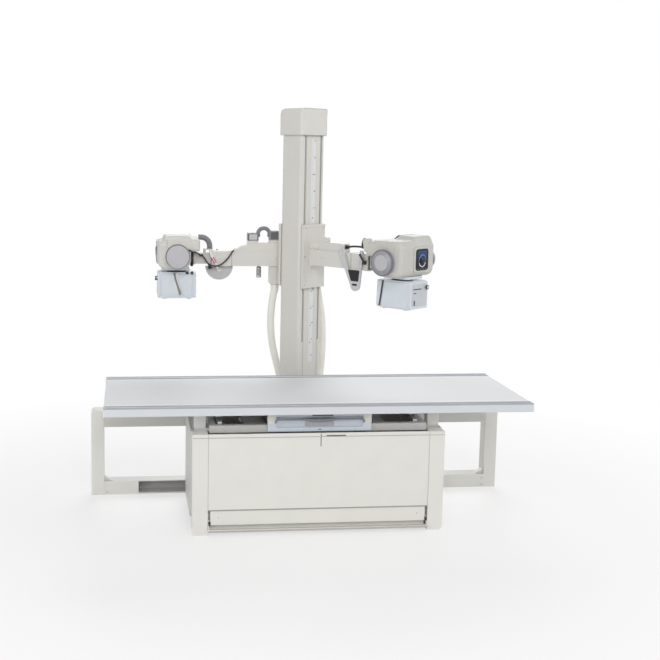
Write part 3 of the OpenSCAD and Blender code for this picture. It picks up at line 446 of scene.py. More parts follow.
def new_object(name, data):
    obj = bpy.data.objects.new(name, data)
    bpy.context.scene.collection.objects.link(obj)
    return obj


def hang(obj, body, nodes):
    """Hides the frame nodes that a piece stands for, and hangs it on the body it rides on."""
    if nodes:
        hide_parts(*nodes)
    if body:
        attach(obj, body)
    return obj


def round_edges(obj, width, segments, angle):
    bevel = obj.modifiers.new("Edges", "BEVEL")
    bevel.width, bevel.segments = width * MILLIMETRE, segments
    bevel.limit_method, bevel.angle_limit = "ANGLE", math.radians(angle)
    bevel.miter_outer = "MITER_ARC"


def evaluated(obj):
    return obj.evaluated_get(bpy.context.evaluated_depsgraph_get())


SAME_POINT = 2e-6  # metres between corners that are one
FLAT_ENOUGH = math.radians(0.6)
FOLD_LEFT = 2  # square millimetres that may stay folded over


def clean_copy(node, split):
    """A frame node's mesh, merged, with its flat faces whole or cut into convex ones."""
    bm = bmesh.new()
    bm.from_mesh(frame["nodes"][node].data)
    bmesh.ops.remove_doubles(bm, verts=bm.verts[:], dist=SAME_POINT)
    bmesh.ops.dissolve_limit(bm, angle_limit=FLAT_ENOUGH, verts=bm.verts[:], edges=bm.edges[:])
    if split:
        bmesh.ops.connect_verts_concave(bm, faces=bm.faces[:])
    mesh = bpy.data.meshes.new("copy")
    bm.to_mesh(mesh)
    bm.free()
    return mesh


def folded(mesh, width, segments, angle):
    """Area in square millimetres of the triangles that fold over when the edges are rounded."""
    obj = new_object("trial", mesh)
    round_edges(obj, width, segments, angle)
    made = evaluated(obj).data
    made.calc_loop_triangles()
    area = 0
    for t in made.loop_triangles:
        a, b, c = (made.vertices[i].co for i in t.vertices)
        n = (b - a).cross(c - a)
        if n.dot(made.polygons[t.polygon_index].normal) < 0:
            area += n.length / 2 / MILLIMETRE ** 2
    bpy.data.objects.remove(obj)
    bpy.data.meshes.remove(mesh)
    return area


def dressed(node, look, edge, segments=2, angle=32):
    """A frame node with its edges rounded as far as they go cleanly, in its own finish."""
    best = None
    for width in (edge, edge * 0.6, edge * 0.3) if edge else ():
        for split in (False, True):
            fold = folded(clean_copy(node, split), width, segments, angle)
            if best is None or fold < best[0] * 0.5:
                best = (fold, width, split)
        if best[0] < FOLD_LEFT:
            break
    _, width, split = best or (0, 0, False)
    shape = Shape().add(clean_copy(node, split))
    shape.done(node + "_skin", BODY_OF[node], look, width, segments, angle, (node,),
               SLOT_OF[node], flip=False)


def dress(look, **edges):
    """Dresses frame nodes in one finish, each with the width of its rounded edges."""
    for node, edge in edges.items():
        dressed(node, look, edge)


# ------------------------------------------------------------------ geometry node trees

def screw_heads(node, start):
    """Pan heads with a drive recess, one on every vertex, along the vertex's facing."""
    head = node("GeometryNodeMeshCylinder", Vertices=20, Radius=start["Head Radius"],
                Depth=start["Head Height"])
    up = node("ShaderNodeSeparateXYZ", node("GeometryNodeInputNormal").outputs[0])
    top = node("FunctionNodeCompare", data_type="FLOAT", operation="GREATER_THAN",
               A=up.outputs["Z"], B=0.9)
    rim = node("GeometryNodeExtrudeMesh", Mesh=head.outputs["Mesh"], Selection=top.outputs[0],
               Offset_Scale=0.0)
    inner = node("GeometryNodeScaleElements", Geometry=rim.outputs["Mesh"],
                 Selection=rim.outputs["Top"], Scale=start["Recess"])
    deep = node("ShaderNodeMath", start["Head Height"], -0.6, operation="MULTIPLY")
    sunk = node("GeometryNodeExtrudeMesh", Mesh=inner.outputs["Geometry"],
                Selection=rim.outputs["Top"], Offset_Scale=deep.outputs[0])
    facing = node("GeometryNodeInputNamedAttribute", data_type="FLOAT_VECTOR", Name="facing")
    turn = node("FunctionNodeAlignRotationToVector", Vector=facing.outputs[0])
    spots = node("GeometryNodeMeshToPoints", Mesh=start["Geometry"])
    return node("GeometryNodeInstanceOnPoints", Points=spots.outputs[0],
                Instance=sunk.outputs["Mesh"], Rotation=turn.outputs[0])


def scale_marks(node, start):
    """A row of marks, the first of every few stretched sideways."""
    row = node("GeometryNodeMeshLine", Count=start["Count"], Offset=start["Pitch"])
    mark = node("GeometryNodeMeshCube", Size=start["Mark"])
    rest = node("ShaderNodeMath", node("GeometryNodeInputIndex").outputs[0], start["Every"],
                operation="MODULO")
    whole = node("FunctionNodeCompare", data_type="FLOAT", operation="LESS_THAN",
                 A=rest.outputs[0], B=0.5)
    size = node("GeometryNodeSwitch", whole.outputs[0], 1.0, start["Stretch"], input_type="FLOAT")
    wide = node("ShaderNodeCombineXYZ", 1.0, size.outputs[0], 1.0)
    return node("GeometryNodeInstanceOnPoints", Points=row.outputs[0], Instance=mark.outputs[0],
                Scale=wide.outputs[0])


def conduit_rings(node, start):
    """A core along the edges of the mesh with close rings on it, as on a corrugated conduit."""
    path = node("GeometryNodeMeshToCurve", Mesh=start["Geometry"])
    circle = node("GeometryNodeCurvePrimitiveCircle", Resolution=20, Radius=start["Radius"])
    bead = node("GeometryNodeCurvePrimitiveCircle", Resolution=8, Radius=start["Ring"])
    core = node("GeometryNodeCurveToMesh", Curve=path.outputs[0], Fill_Caps=True,
                Profile_Curve=circle.outputs[0])
    ring = node("GeometryNodeCurveToMesh", Curve=circle.outputs[0], Profile_Curve=bead.outputs[0])
    spots = node("GeometryNodeCurveToPoints", mode="LENGTH", Curve=path.outputs[0],
                 Length=start["Pitch"])
    put = node("GeometryNodeInstanceOnPoints", Points=spots.outputs["Points"],
               Instance=ring.outputs[0], Rotation=spots.outputs["Rotation"])
    both = node("GeometryNodeJoinGeometry", core.outputs[0])
    both.id_data.links.new(put.outputs[0], both.inputs[0])
    return both


TREES = {
    "Cover Screws": (screw_heads, {
        "Head Radius": ("Float", 0.0042), "Head Height": ("Float", 0.0022),
        "Recess": ("Float", 0.5)}),
    "Scale Marks": (scale_marks, {
        "Count": ("Int", 100), "Pitch": ("Vector", (0, 0, 0.01)),
        "Mark": ("Vector", (0.0003, 0.006, 0.0007)), "Every": ("Int", 5),
        "Stretch": ("Float", 1.8)}),
    "Bellows": (conduit_rings, {
        "Radius": ("Float", 0.012), "Ring": ("Float", 0.0025), "Pitch": ("Float", 0.006)}),
}


def node_tree(name):
    """The geometry node tree of that name, built when it is first asked for."""
    tree = bpy.data.node_groups.get(name)
    if tree:
        return tree
    build, inputs = TREES[name]
    tree = bpy.data.node_groups.new(name, "GeometryNodeTree")
    tree.interface.new_socket("Geometry", in_out="INPUT", socket_type="NodeSocketGeometry")
    for label, (kind, value) in inputs.items():
        made = tree.interface.new_socket(label, in_out="INPUT", socket_type="NodeSocket" + kind)
        made.default_value = value
    tree.interface.new_socket("Material", in_out="INPUT", socket_type="NodeSocketMaterial")
    tree.interface.new_socket("Geometry", in_out="OUTPUT", socket_type="NodeSocketGeometry")

    def node(kind, *places, **names):
        return add_node(tree, kind, *places, **names)

    start = node("NodeGroupInput").outputs
    put = build(node, start)
    real = node("GeometryNodeRealizeInstances", put.outputs[0])
    last = node("GeometryNodeSetMaterial", Geometry=real.outputs[0], Material=start["Material"])
    node("NodeGroupOutput", last.outputs[0])
    return tree


def grown(name, body, tree, look, values, points=((0, 0, 0),), facing=None, edges=(), place=ROOM,
          nodes=(), into=None):
    """Runs a node tree on a set of points, and keeps the result as a plain piece."""
    seed = bpy.data.meshes.new(name)
    seed.from_pydata([place @ Vector(p) for p in points], edges, [])
    obj = new_object(name, seed)
    if facing:
        turn = place.to_3x3()
        field = seed.attributes.new("facing", "FLOAT_VECTOR", "POINT")
        for i, f in enumerate(facing):
            field.data[i].vector = (turn @ Vector(f)).normalized()
    grow = obj.modifiers.new("Grow", "NODES")
    grow.node_group = node_tree(tree)
    values = {**values, "Material": finish(look)}
    for item in grow.node_group.interface.items_tree:
        if item.in_out == "INPUT" and item.name in values:
            grow[item.identifier] = values[item.name]
    bpy.context.view_layer.update()
    plain = bpy.data.meshes.new_from_object(evaluated(obj))
    obj.modifiers.clear()
    obj.data = plain
    plain.name = name
    if into:
        plain.transform(into)
    bpy.data.meshes.remove(seed)
    plain.shade_smooth()
    plain.set_sharp_from_angle(angle=math.radians(35))
    return hang(obj, body, nodes)


def screws(name, body, spots, place=ROOM, radius=None, look="bright_plating"):
    """Cover screws; spots holds their places by the way that they face."""
    r = radius or shapes().screw_radius
    faced = [(p, way) for way, places in spots.items() for p in places]
    grown(name, body, "Cover Screws", look, {"Head Radius": r, "Head Height": r * 0.5},
          [p for p, _ in faced], [way for _, way in faced], place=place)


# ------------------------------------------------------------------ camera and cords first

def smooth_path(points, step=0.008):
    """Close points in metres on one smooth curve through the route's points in millimetres."""
    pts = [Vector(p) * MILLIMETRE for p in points]
    ends = [pts[0] * 2 - pts[1], *pts, pts[-1] * 2 - pts[-2]]
    out = []
    for a, b, c, d in zip(ends, ends[1:], ends[2:], ends[3:]):
        n = max(2, round((c - b).length / step))
        for t in (i / n for i in range(n)):
            out.append(0.5 * ((2 * b) + (c - a) * t + (2 * a - 5 * b + 4 * c - d) * t * t
                              + (3 * b - a - 3 * c + d) * t ** 3))
    return [*out, pts[-1]]


def placed(points, place):
    """Route points of a frame, in the room's millimetres."""
    return [(place @ Vector(p)) / MILLIMETRE for p in points]


# The hoses' routes are measured from the column's axis, the others in their arm's frame.
LEFT_HOSE = [(-147, 110, 1216), (-147, 110, 1203), (-151, 111, 1170), (-159, 114, 1120),
             (-165, 118, 1060), (-167, 122, 1000), (-165, 127, 940), (-159, 132, 880),
             (-149, 138, 820), (-135, 144, 760), (-119, 149, 700), (-103, 153, 640),
             (-89, 156, 580), (-78, 158, 520), (-70, 159, 460), (-66, 160, 400), (-65, 160, 340),
             (-65, 160, 290)]
RIGHT_HOSE = [(113, 124, 1300), (113, 124, 1288), (115, 125, 1250), (123, 128, 1200),
              (135, 132, 1140), (147, 136, 1080), (156, 139, 1020), (162, 141, 960),
              (165, 142, 900), (166, 143, 840), (165, 143, 780), (162, 143, 720), (157, 142, 660),
              (151, 141, 600), (144, 140, 540), (137, 139, 480), (131, 138, 420), (127, 137, 360),
              (125, 136, 312), (125, 136, 290)]
LEFT_LEAD = [(601.6, 56.9, 18.6), (597, 58, 14), (588, 60, 2), (578, 62, -14), (566, 63, -28),
             (550, 63, -38), (520, 62, -44), (490, 60, -36), (463, 57, -16), (441, 55, 8),
             (424, 53, 34), (414, 51, 49), (410.6, 49.1, 52.4)]
RIGHT_LEAD = [(350, 0, 76), (357, 0, 76), (366, -2, 76.6), (378, -6, 78.8), (398, -10, 81.8),
              (422, -12, 84), (450, -12, 84.6), (478, -10, 83), (504, -6, 78.6), (526, -2, 72.6),
              (545, 0, 67), (560, 0, 64), (575, 0, 64)]
ELBOW = [(620, 0, 128), (604, 0, 128), (587, 0, 125), (572, 0, 116), (561, 0, 103),
         (555, 0, 88), (553, 0, 72), (553, 0, 58)]

CAMERA_SPOT = (-1.01420, -5.92535, 2.00870)
CAMERA_YAW, CAMERA_PITCH, CAMERA_ROLL = 0.1124992, 0.1290040, 0.0132064
CAMERA_LENS, CAMERA_SHIFT = 59.534, (0.12, -0.05)
FLOOR_RADIUS, FLOOR_DROP = 14, 0.0006
# Each lamp: its place, what it is aimed at, its size, its share of the key lamp's power, its tint.
LAMPS = {
    "key_lamp": ((-0.6, -8.0, 5.6), (0, 0.2, 1.1), 4.6, 1.0, (1, 0.995, 0.98)),
    "fill_lamp": ((-6.0, -4.5, 3.5), (0, 0.2, 1.1), 4.2, 0.30, (0.98, 0.99, 1)),
    "back_lamp": ((1.0, 6.5, 5.5), (0, 0.4, 1.1), 4.2, 0.70, (1, 1, 1)),
    "side_lamp": ((6.5, -1.0, 4.0), (0, 0.3, 1.1), 4.0, 0.33, (1, 1, 1)),
}


class StageOperator(bpy.types.Operator):
    """Floor, lamps and the camera at the machine's usual viewing angle"""
    bl_idname = "radiography.stage"
    bl_label = "Add Stage"

    def execute(self, context):
        scene = context.scene
        scene.view_settings.view_transform = "Standard"
        self.camera(scene)
        bm = bmesh.new()
        bmesh.ops.create_circle(bm, cap_ends=True, segments=96, radius=FLOOR_RADIUS)
        mesh = bpy.data.meshes.new("studio_floor")
        bm.to_mesh(mesh)
        bm.free()
        floor = new_object("studio_floor", mesh)
        floor.location.z = -FLOOR_DROP
        mesh.materials.append(self.paper())
        for name, (spot, aim, size, share, tint) in LAMPS.items():
            data = bpy.data.lights.new(name, "AREA")
            data.size, data.energy, data.color = size, shapes().lamp_power * share, tint
            lamp = new_object(name, data)
            lamp.location = spot
            lamp.rotation_euler = (Vector(aim) - Vector(spot)).to_track_quat("-Z", "Y").to_euler()
        self.sky(scene)
        return {"FINISHED"}

    def camera(self, scene):
        eye = bpy.data.cameras.new("viewpoint")
        eye.sensor_width = 36
        eye.lens = CAMERA_LENS
        eye.shift_x, eye.shift_y = CAMERA_SHIFT
        camera = new_object("viewpoint", eye)
        level, rise = around(1, CAMERA_PITCH)
        north, east = around(1, CAMERA_YAW)
        ahead = Vector((east * level, north * level, -rise))
        side = Vector((north, -east, 0))
        up = side.cross(ahead)
        c, s = around(1, CAMERA_ROLL)
        turn = Matrix((side * c + up * s, up * c - side * s, -ahead)).transposed().to_4x4()
        camera.matrix_world = Matrix.Translation(CAMERA_SPOT) @ turn
        scene.camera = camera

    def background_rays(self, tree):
        """1 for the rays that show the background: straight, mirrored and through glass."""
        rays = add_node(tree, "ShaderNodeLightPath").outputs
        bent = add_node(tree, "ShaderNodeMath", rays["Is Glossy Ray"], rays["Is Transmission Ray"],
                        operation="MAXIMUM")
        return add_node(tree, "ShaderNodeMath", rays["Is Camera Ray"], bent.outputs[0],
                        operation="MAXIMUM").outputs[0]

    def paper(self):
        """Pale floor that fades to white away from the machine, and keeps its shadow."""
        mat = bpy.data.materials.new("studio_floor_paper")
        mat.use_nodes = True
        tree = mat.node_tree
        tree.nodes.clear()
        sheet = add_node(tree, "ShaderNodeBsdfPrincipled", Base_Color=(0.86, 0.86, 0.86, 1),
                         Roughness=0.5)
        white = add_node(tree, "ShaderNodeEmission")
        place = add_node(tree, "ShaderNodeTexCoord").outputs["Object"]
        away = add_node(tree, "ShaderNodeVectorMath", place, operation="LENGTH").outputs["Value"]
        far = add_node(tree, "ShaderNodeMapRange", away, From_Min=1.6, From_Max=3.4, To_Min=0.55)
        both = add_node(tree, "ShaderNodeMath", far.outputs["Result"], self.background_rays(tree),
                        operation="MULTIPLY")
        mix = add_node(tree, "ShaderNodeMixShader", both.outputs[0], sheet.outputs[0],
                       white.outputs[0])
        add_node(tree, "ShaderNodeOutputMaterial", mix.outputs[0])
        return mat

    def sky(self, scene):
        """Even light from all round, in front of a white background."""
        scene.world = bpy.data.worlds.new("studio_light")
        scene.world.use_nodes = True
        tree = scene.world.node_tree
        tree.nodes.clear()
        light, white = (add_node(tree, "ShaderNodeBackground", Color=(1, 1, 1, 1), Strength=power)
                        for power in (0.4, 1))
        mix = add_node(tree, "ShaderNodeMixShader", self.background_rays(tree), light.outputs[0],
                       white.outputs[0])
        add_node(tree, "ShaderNodeOutputWorld", mix.outputs[0])


class HosesOperator(bpy.types.Operator):
    """Main hoses behind the table, the black leads on the arms, and their cuffs"""
    bl_idname = "radiography.hoses"
    bl_label = "Add Hoses and Leads"

    def run(self, name, node, points, diameter, bodies, look, stiffness, steps):
        path = smooth_path(points, max(0.004, diameter * 0.2))
        tube = Shape(METRES).tube(path, diameter / 2, steps)
        obj = tube.done(name, None, look, angle=60, nodes=(node,))
        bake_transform(obj)

    def cuff(self, name, body, spot, away, r, look, length=46):
        """A tapered cuff with three beads, where a hose enters its socket."""
        turn = away.to_track_quat("Z", "Y").to_matrix().to_4x4()
        profile = [(4.5, -6), (4.5, 4), (3.4, 6), (3.4, 10), (4.2, 12), (4.2, 16), (2.8, 18),
                   (2.8, 22), (3.6, 24), (3.4, 28), (1.8, 30), (1.2, length), (-3, length + 0.5),
                   (-3, -6)]
        cuff = Shape(ROOM @ Matrix.Translation(spot) @ turn)
        cuff.turned([(r + wide, z) for wide, z in profile], "z", (0, 0, 0), 36, ring=True)
        cuff.done(name, body, look, angle=40, slot="hose_rubber")

    def execute(self, context):
        size = shapes()
        radius = size.hose_diameter / 2 / MILLIMETRE
        axis = Vector((COLUMN_X, COLUMN_Y, 0))
        hoses = {side: [Vector(p) + axis for p in route]
                 for side, route in (("left", LEFT_HOSE), ("right", RIGHT_HOSE))}
        for side, route in hoses.items():
            self.run(side + "_hose_sleeve", side + "_hose", route, size.hose_diameter,
                     ("carriage", "column"), "cream_sleeve", "stiff", 26)
        self.run("left_lead", "left_cable", placed(LEFT_LEAD, LEFT), size.lead_diameter,
                 ("left_inner", "carriage"), "cable_jacket", "medium", 12)
        self.run("right_lead", "right_cable", placed(RIGHT_LEAD, RIGHT), size.cable_diameter,
                 ("carriage", "right_inner"), "cable_jacket", "medium", 14)
        for end, body, first, second, look in (("top", "carriage", 0, 1, "cream_sleeve"),
                                               ("foot", "column", -1, -2, "mid_grey_moulding")):
            for side, route in hoses.items():
                self.cuff(f"{side}_hose_{end}_cuff", body, route[first],
                          route[second] - route[first], radius, look)
        fine = smooth_path(placed(ELBOW, LEFT), 0.003)
        bend = grown("left_elbow_bellows", None, "Bellows", "mid_grey_moulding",
                     {"Radius": 0.0150, "Ring": 0.0030, "Pitch": 0.0070}, fine,
                     edges=[(i, i + 1) for i in range(len(fine) - 1)], place=METRES,
                     nodes=("left_elbow",))
        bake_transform(bend)
        return {"FINISHED"}


# ------------------------------------------------------------------ table

class PedestalOperator(bpy.types.Operator):
    """Legs, covers, foot bar and lifting columns of the pedestal"""
    bl_idname = "radiography.pedestal"
    bl_label = "Add Pedestal"

    def execute(self, context):
        dress("warm_white_powder_coat", left_leg=0.9, right_leg=0.9)
        dress("moulded_warm_white", front_panel=0.9, kick_panel=1.2, rear_panel=1.5)
        dress("pale_grey_paint", side_panels=2.0)
        dress("dark_grey_paint", pedestal_base=1.2, lift_outer_columns=2.0)
        dress("ground_steel", lift_inner_columns=1.5)
        dress("foot_bar_satin", foot_bar=0.8)
        Shape().plate(2.1, 476.5, 5.9, 545.5, 1.6, "y", -338.2, -335.6).done(
            "front_panel_seam", "base", "dark_recess", 0.2)
        Shape().plate(33.2, 532.2, 138.8, 536.8, 1.2, "y", -338.1, -335.6).done(
            "front_panel_slot", "base", "dark_recess", 0.2)
        joints = Shape().block((-680.6, -339.5, 528.4), (680.6, -338.8, 530.6))
        joints.block((-589, -338.5, 131.6), (589, -335.2, 138.2))
        for _, x0, x1 in side_pair(596.2, 597.8):
            joints.block((x0, -339.4, 52), (x1, -338.6, 548))
        joints.done("pedestal_joints", "base", "seam_grey", 0.2)
        board = Shape().plate(-588, 6, 588, 57, 3, "y", -306, -302)
        for _, x0, x1 in side_pair(580, 597):
            board.block((x0, -303, 57), (x1, -299, 134))
        board.done("toe_board", "base", "warm_white_powder_coat", 0.8)
        shelf, stops = Shape(), Shape()
        notched = [(598, -186), (669.5, -186), (669.5, -254), (676.5, -254), (676.5, 254),
                   (669.5, 254), (669.5, 186), (598, 186)]
        for s, x0, x1 in side_pair(581, 595.4):
            shelf.slab([(s * x, y) for x, y in notched][::s], "z", 540, 545.5)
            stops.plate(-341, 50, -331, 72, 3, "x", x0 + 2, x1 - 2)
        shelf.done("pedestal_side_shelves", "base", "warm_white_powder_coat", 0.6)
        stops.done("foot_bar_stops", "base", "black_moulding", 0.8)
        screws("pedestal_screws", "base", {
            (-1, 0, 0): grid(-686, (-210, 210), (110, 520)),
            (1, 0, 0): grid(686, (-210, 210), (110, 520)),
            (0, 1, 0): grid((-560, -187, 187, 560), 338, (80, 520)),
            (0, -1, 0): grid((-540, 540), -335, 94)})
        grown("rear_panel_louvres", "base", "Scale Marks", "dark_recess", {
            "Count": 18, "Pitch": (0.014, 0, 0), "Mark": (0.006, 0.0012, 0.07), "Every": 1,
            "Stretch": 1.0},
            into=Matrix.Translation((-0.119, 0.3381, 0.18)))
        Shape().turned([(17, 0), (17, 3), (12, 4), (12, 15), (10.5, 17), (6.5, 17)], "y",
                       (430, 338, 110), 28).done("rear_gland", "base", "black_moulding", 0.6)
        return {"FINISHED"}


class TabletopOperator(bpy.types.Operator):
    """Floating tabletop with its grooved side rails"""
    bl_idname = "radiography.tabletop"
    bl_label = "Add Tabletop"

    def execute(self, context):
        dress("tabletop_laminate", tabletop_panel=1.0)
        dress("table_rail_coat", front_rail=0.8, rear_rail=0.8)
        dress("rail_extrusion", slide_rails=1.0)
        bands, strips, caps = Shape(), Shape(), Shape()
        # Grey bands on each rail's inner top, groove floor, lip and outer edge; the one on the
        # groove's floor is painted shade.
        for inner, outer, low, top in ((344.6, 365.8, 708.4, 709.8), (366.4, 388.6, 701.8, 703),
                                       (389.2, 405.5, 710.2, 711.5), (404.8, 405.7, 705.5, 711)):
            for _, y0, y1 in side_pair(inner, outer):
                bands.block((-1143.5, y0, low), (1143.5, y1, top))
        for _, y0, y1 in side_pair(343.8, 300):
            strips.block((-1142, y0, 707.4), (1142, y1, 708.5))
        front_end = [(-405.4, 666.8), (-402.2, 663.6), (-343.6, 663.6), (-343.6, 709.3),
                     (-350, 709.5), (-364, 709.5), (-366.2, 702.6), (-389, 702.6),
                     (-391, 711.4), (-402, 711.4), (-405.4, 708.2)]
        rear_end = [(-y, z) for y, z in reversed(front_end)]
        for _, x0, x1 in side_pair(1139, 1146.5):
            caps.slab(front_end, "x", x0, x1).slab(rear_end, "x", x0, x1)
        bands.done("rail_top_bands", "tabletop", "rail_band_grey", 0.2)
        strips.done("panel_edge_strips", "tabletop", "edge_strip_white", 0.3)
        caps.done("rail_end_caps", "tabletop", "moulded_warm_white", 0.7)
        Shape().plate(-56, 656.5, 56, 664.5, 2, "y", -398, -380).done(
            "lip_touch_strip", "tabletop", "black_moulding", 0.6)
        return {"FINISHED"}


class LiftOperator(bpy.types.Operator):
    """Lifting frame, floating carriage and its rollers"""
    bl_idname = "radiography.lift"
    bl_label = "Add Lift and Float"

    def execute(self, context):
        dress("pale_grey_paint", lift_frame=1.0)
        dress("ground_steel", cross_rails=0.6)
        dress("pale_grey_paint", float_carriage=1.0)
        dress("ground_steel", float_rollers=0.6)
        covers = Shape()
        for _, x0, x1 in side_pair(604.2, 668):
            for _, y0, y1 in side_pair(189.2, 251):
                covers.plate(x0, y0, x1, y1, 5, "z", 562.5, 658.8)
        covers.done("corner_block_covers", "lift", "moulded_warm_white", 2.0)
        screws("corner_block_screws", "lift", {
            (0, s, 0): grid((-652, -620, 620, 652), s * 251, 640) for s in (-1, 1)})
        return {"FINISHED"}


class BuckyOperator(bpy.types.Operator):
    """Bucky housing, cassette tray and the drawer's front with its bow handle"""
    bl_idname = "radiography.bucky"
    bl_label = "Add Bucky Drawer"

    def execute(self, context):
        dress("pale_grey_paint", bucky_housing=1.0)
        dress("rail_extrusion", cassette_tray=0.8)
        dress("drawer_front_shell", drawer_front=1.0)
        ends, clamps = Shape(), Shape()
        for s, x0, x1 in side_pair(236, 281.6):
            ends.plate(x0, 594, x1, 644.6, 6, "y", -314, -293.6)
            clamps.plate(s * 150 - 16, 196, s * 150 + 16, 214, 3, "z", 612.6, 616)
        ends.done("drawer_corner_blocks", "drawer", "moulded_warm_white", 1.6)
        self.grip()
        # The well's grey plate is painted shade under the tabletop's edge.
        Shape().plate(-80, 577, 80, 604, 8, "y", -301.4, -299.6).done(
            "drawer_grip_well", "drawer", "well_grey", 0.4)
        Shape().plate(-9, 561, 9, 565, 1.5, "y", -313.2, -311.4).done(
            "drawer_centre_mark", "drawer", "scale_ink", 0.2)
        clamps.done("cassette_clamps", "drawer", "black_moulding", 0.8)
        return {"FINISHED"}

    def grip(self):
        """The bow handle: its middle dips and swells, and its ends hook down."""
        bow = []
        for x in range(-222, 223, 6):
            swell = math.exp(-(x / 80) ** 4)
            bow.append((x, 1.8 * swell - 319, 620 - 4.6 * math.exp(-(x / 66) ** 2)))
        hook = [(230, -319, 618.4), (236, -318.6, 613), (239, -318, 606), (240, -316, 601)]
        bow = [(-x, y, z) for x, y, z in reversed(hook)] + bow + hook
        sizes = [5.1 + 4.3 * math.exp(-(x / 80) ** 4) for x, _, _ in bow]
        # The handle's darker grey is painted shade along the bar's underside.
        Shape().tube(bow, sizes, 16).done("drawer_grip", "drawer", "grip_satin", angle=60)


# ------------------------------------------------------------------ stand

class RailsOperator(bpy.types.Operator):
    """Floor rail, upper rail, end posts and their fittings"""
    bl_idname = "radiography.rails"
    bl_label = "Add Stand Rails"

    def execute(self, context):
        dress("rail_extrusion", floor_rail=0.8, upper_rail=0.9)
        dress("warm_white_powder_coat", end_posts=2.0, rail_fittings=0.7)
        # A grey sheet at the back of the channel, as painted shade inside it.
        Shape().block((-955, 492.2, 9), (887, 493.8, 74)).done(
            "channel_liner", "base", "channel_grey", 0.3)
        Shape().block((-1150, 449, 79.6), (1150, 456, 80.25)).done(
            "rail_wear_strip", "base", "ground_steel", 0.1)
        screws("rail_screws", "base", {(0, -1, 0): grid((-1145, 1145), 403.4, (17, 57)) + grid(
            (-1146, -1134, 1134, 1146), 405.9, 460)}, radius=0.0052)
        plugs = Shape()
        for x, z in product((-1233, 1230), (120, 400)):
            plugs.turned([(2, 0), (11, 0.6), (12, 2), (12, 3)], "x", (x, 452, z), 28)
        plugs.done("post_hole_plugs", "base", "mid_grey_moulding", 0.3)
        return {"FINISHED"}


class TrolleyOperator(bpy.types.Operator):
    """Trolley under the column, with its two rail wheels"""
    bl_idname = "radiography.trolley"
    bl_label = "Add Trolley"

    def execute(self, context):
        dress("pale_grey_paint", trolley=1.5)
        front_hub = [(10.2, 0), (22, 0), (23, 1), (23, 2), (21, 3), (10.2, 3.4)]
        rear_hub = [(10.2, 0), (21, 0.4), (23, 1.4), (23, 2.4), (22, 3.4), (10.2, 3.4)]
        for wheel, x in (("left_wheel", -105), ("right_wheel", 175)):
            dressed(wheel, "black_moulding", 1.2)
            Shape().turned(front_hub, "y", (x, 423.4, 115.3), 32, ring=True).turned(
                rear_hub, "y", (x, 478.2, 115.3), 32, ring=True).done(
                wheel + "_hubs", wheel, "ground_steel", 0.2)
        Shape().turned([(152, 0), (166, 0), (168, 1.5), (168, 4), (166, 5.5), (152, 5.5)], "z",
                       (COLUMN_X, COLUMN_Y, 200), 72, ring=True).done(
            "turntable_ring", "trolley", "mid_grey_moulding", 0.3)
        screws("trolley_deck_screws", "trolley", {(0, 0, 1): grid(
            (COLUMN_X - 170, COLUMN_X + 170), (440, 620, 815), 200)}, radius=0.006)
        screws("trolley_front_screws", "trolley", {(0, -1, 0): grid(
            [COLUMN_X + x for x in (-170, -60, 60, 170)], 416, (155, 185))})
        pads = Shape()
        for x in (COLUMN_X - 166, COLUMN_X + 166):
            pads.plate(x - 18, 762, x + 18, 828, 6, "z", 1.2, 9)
        pads.done("skid_pads", "trolley", "black_moulding", 1.2)
        return {"FINISHED"}


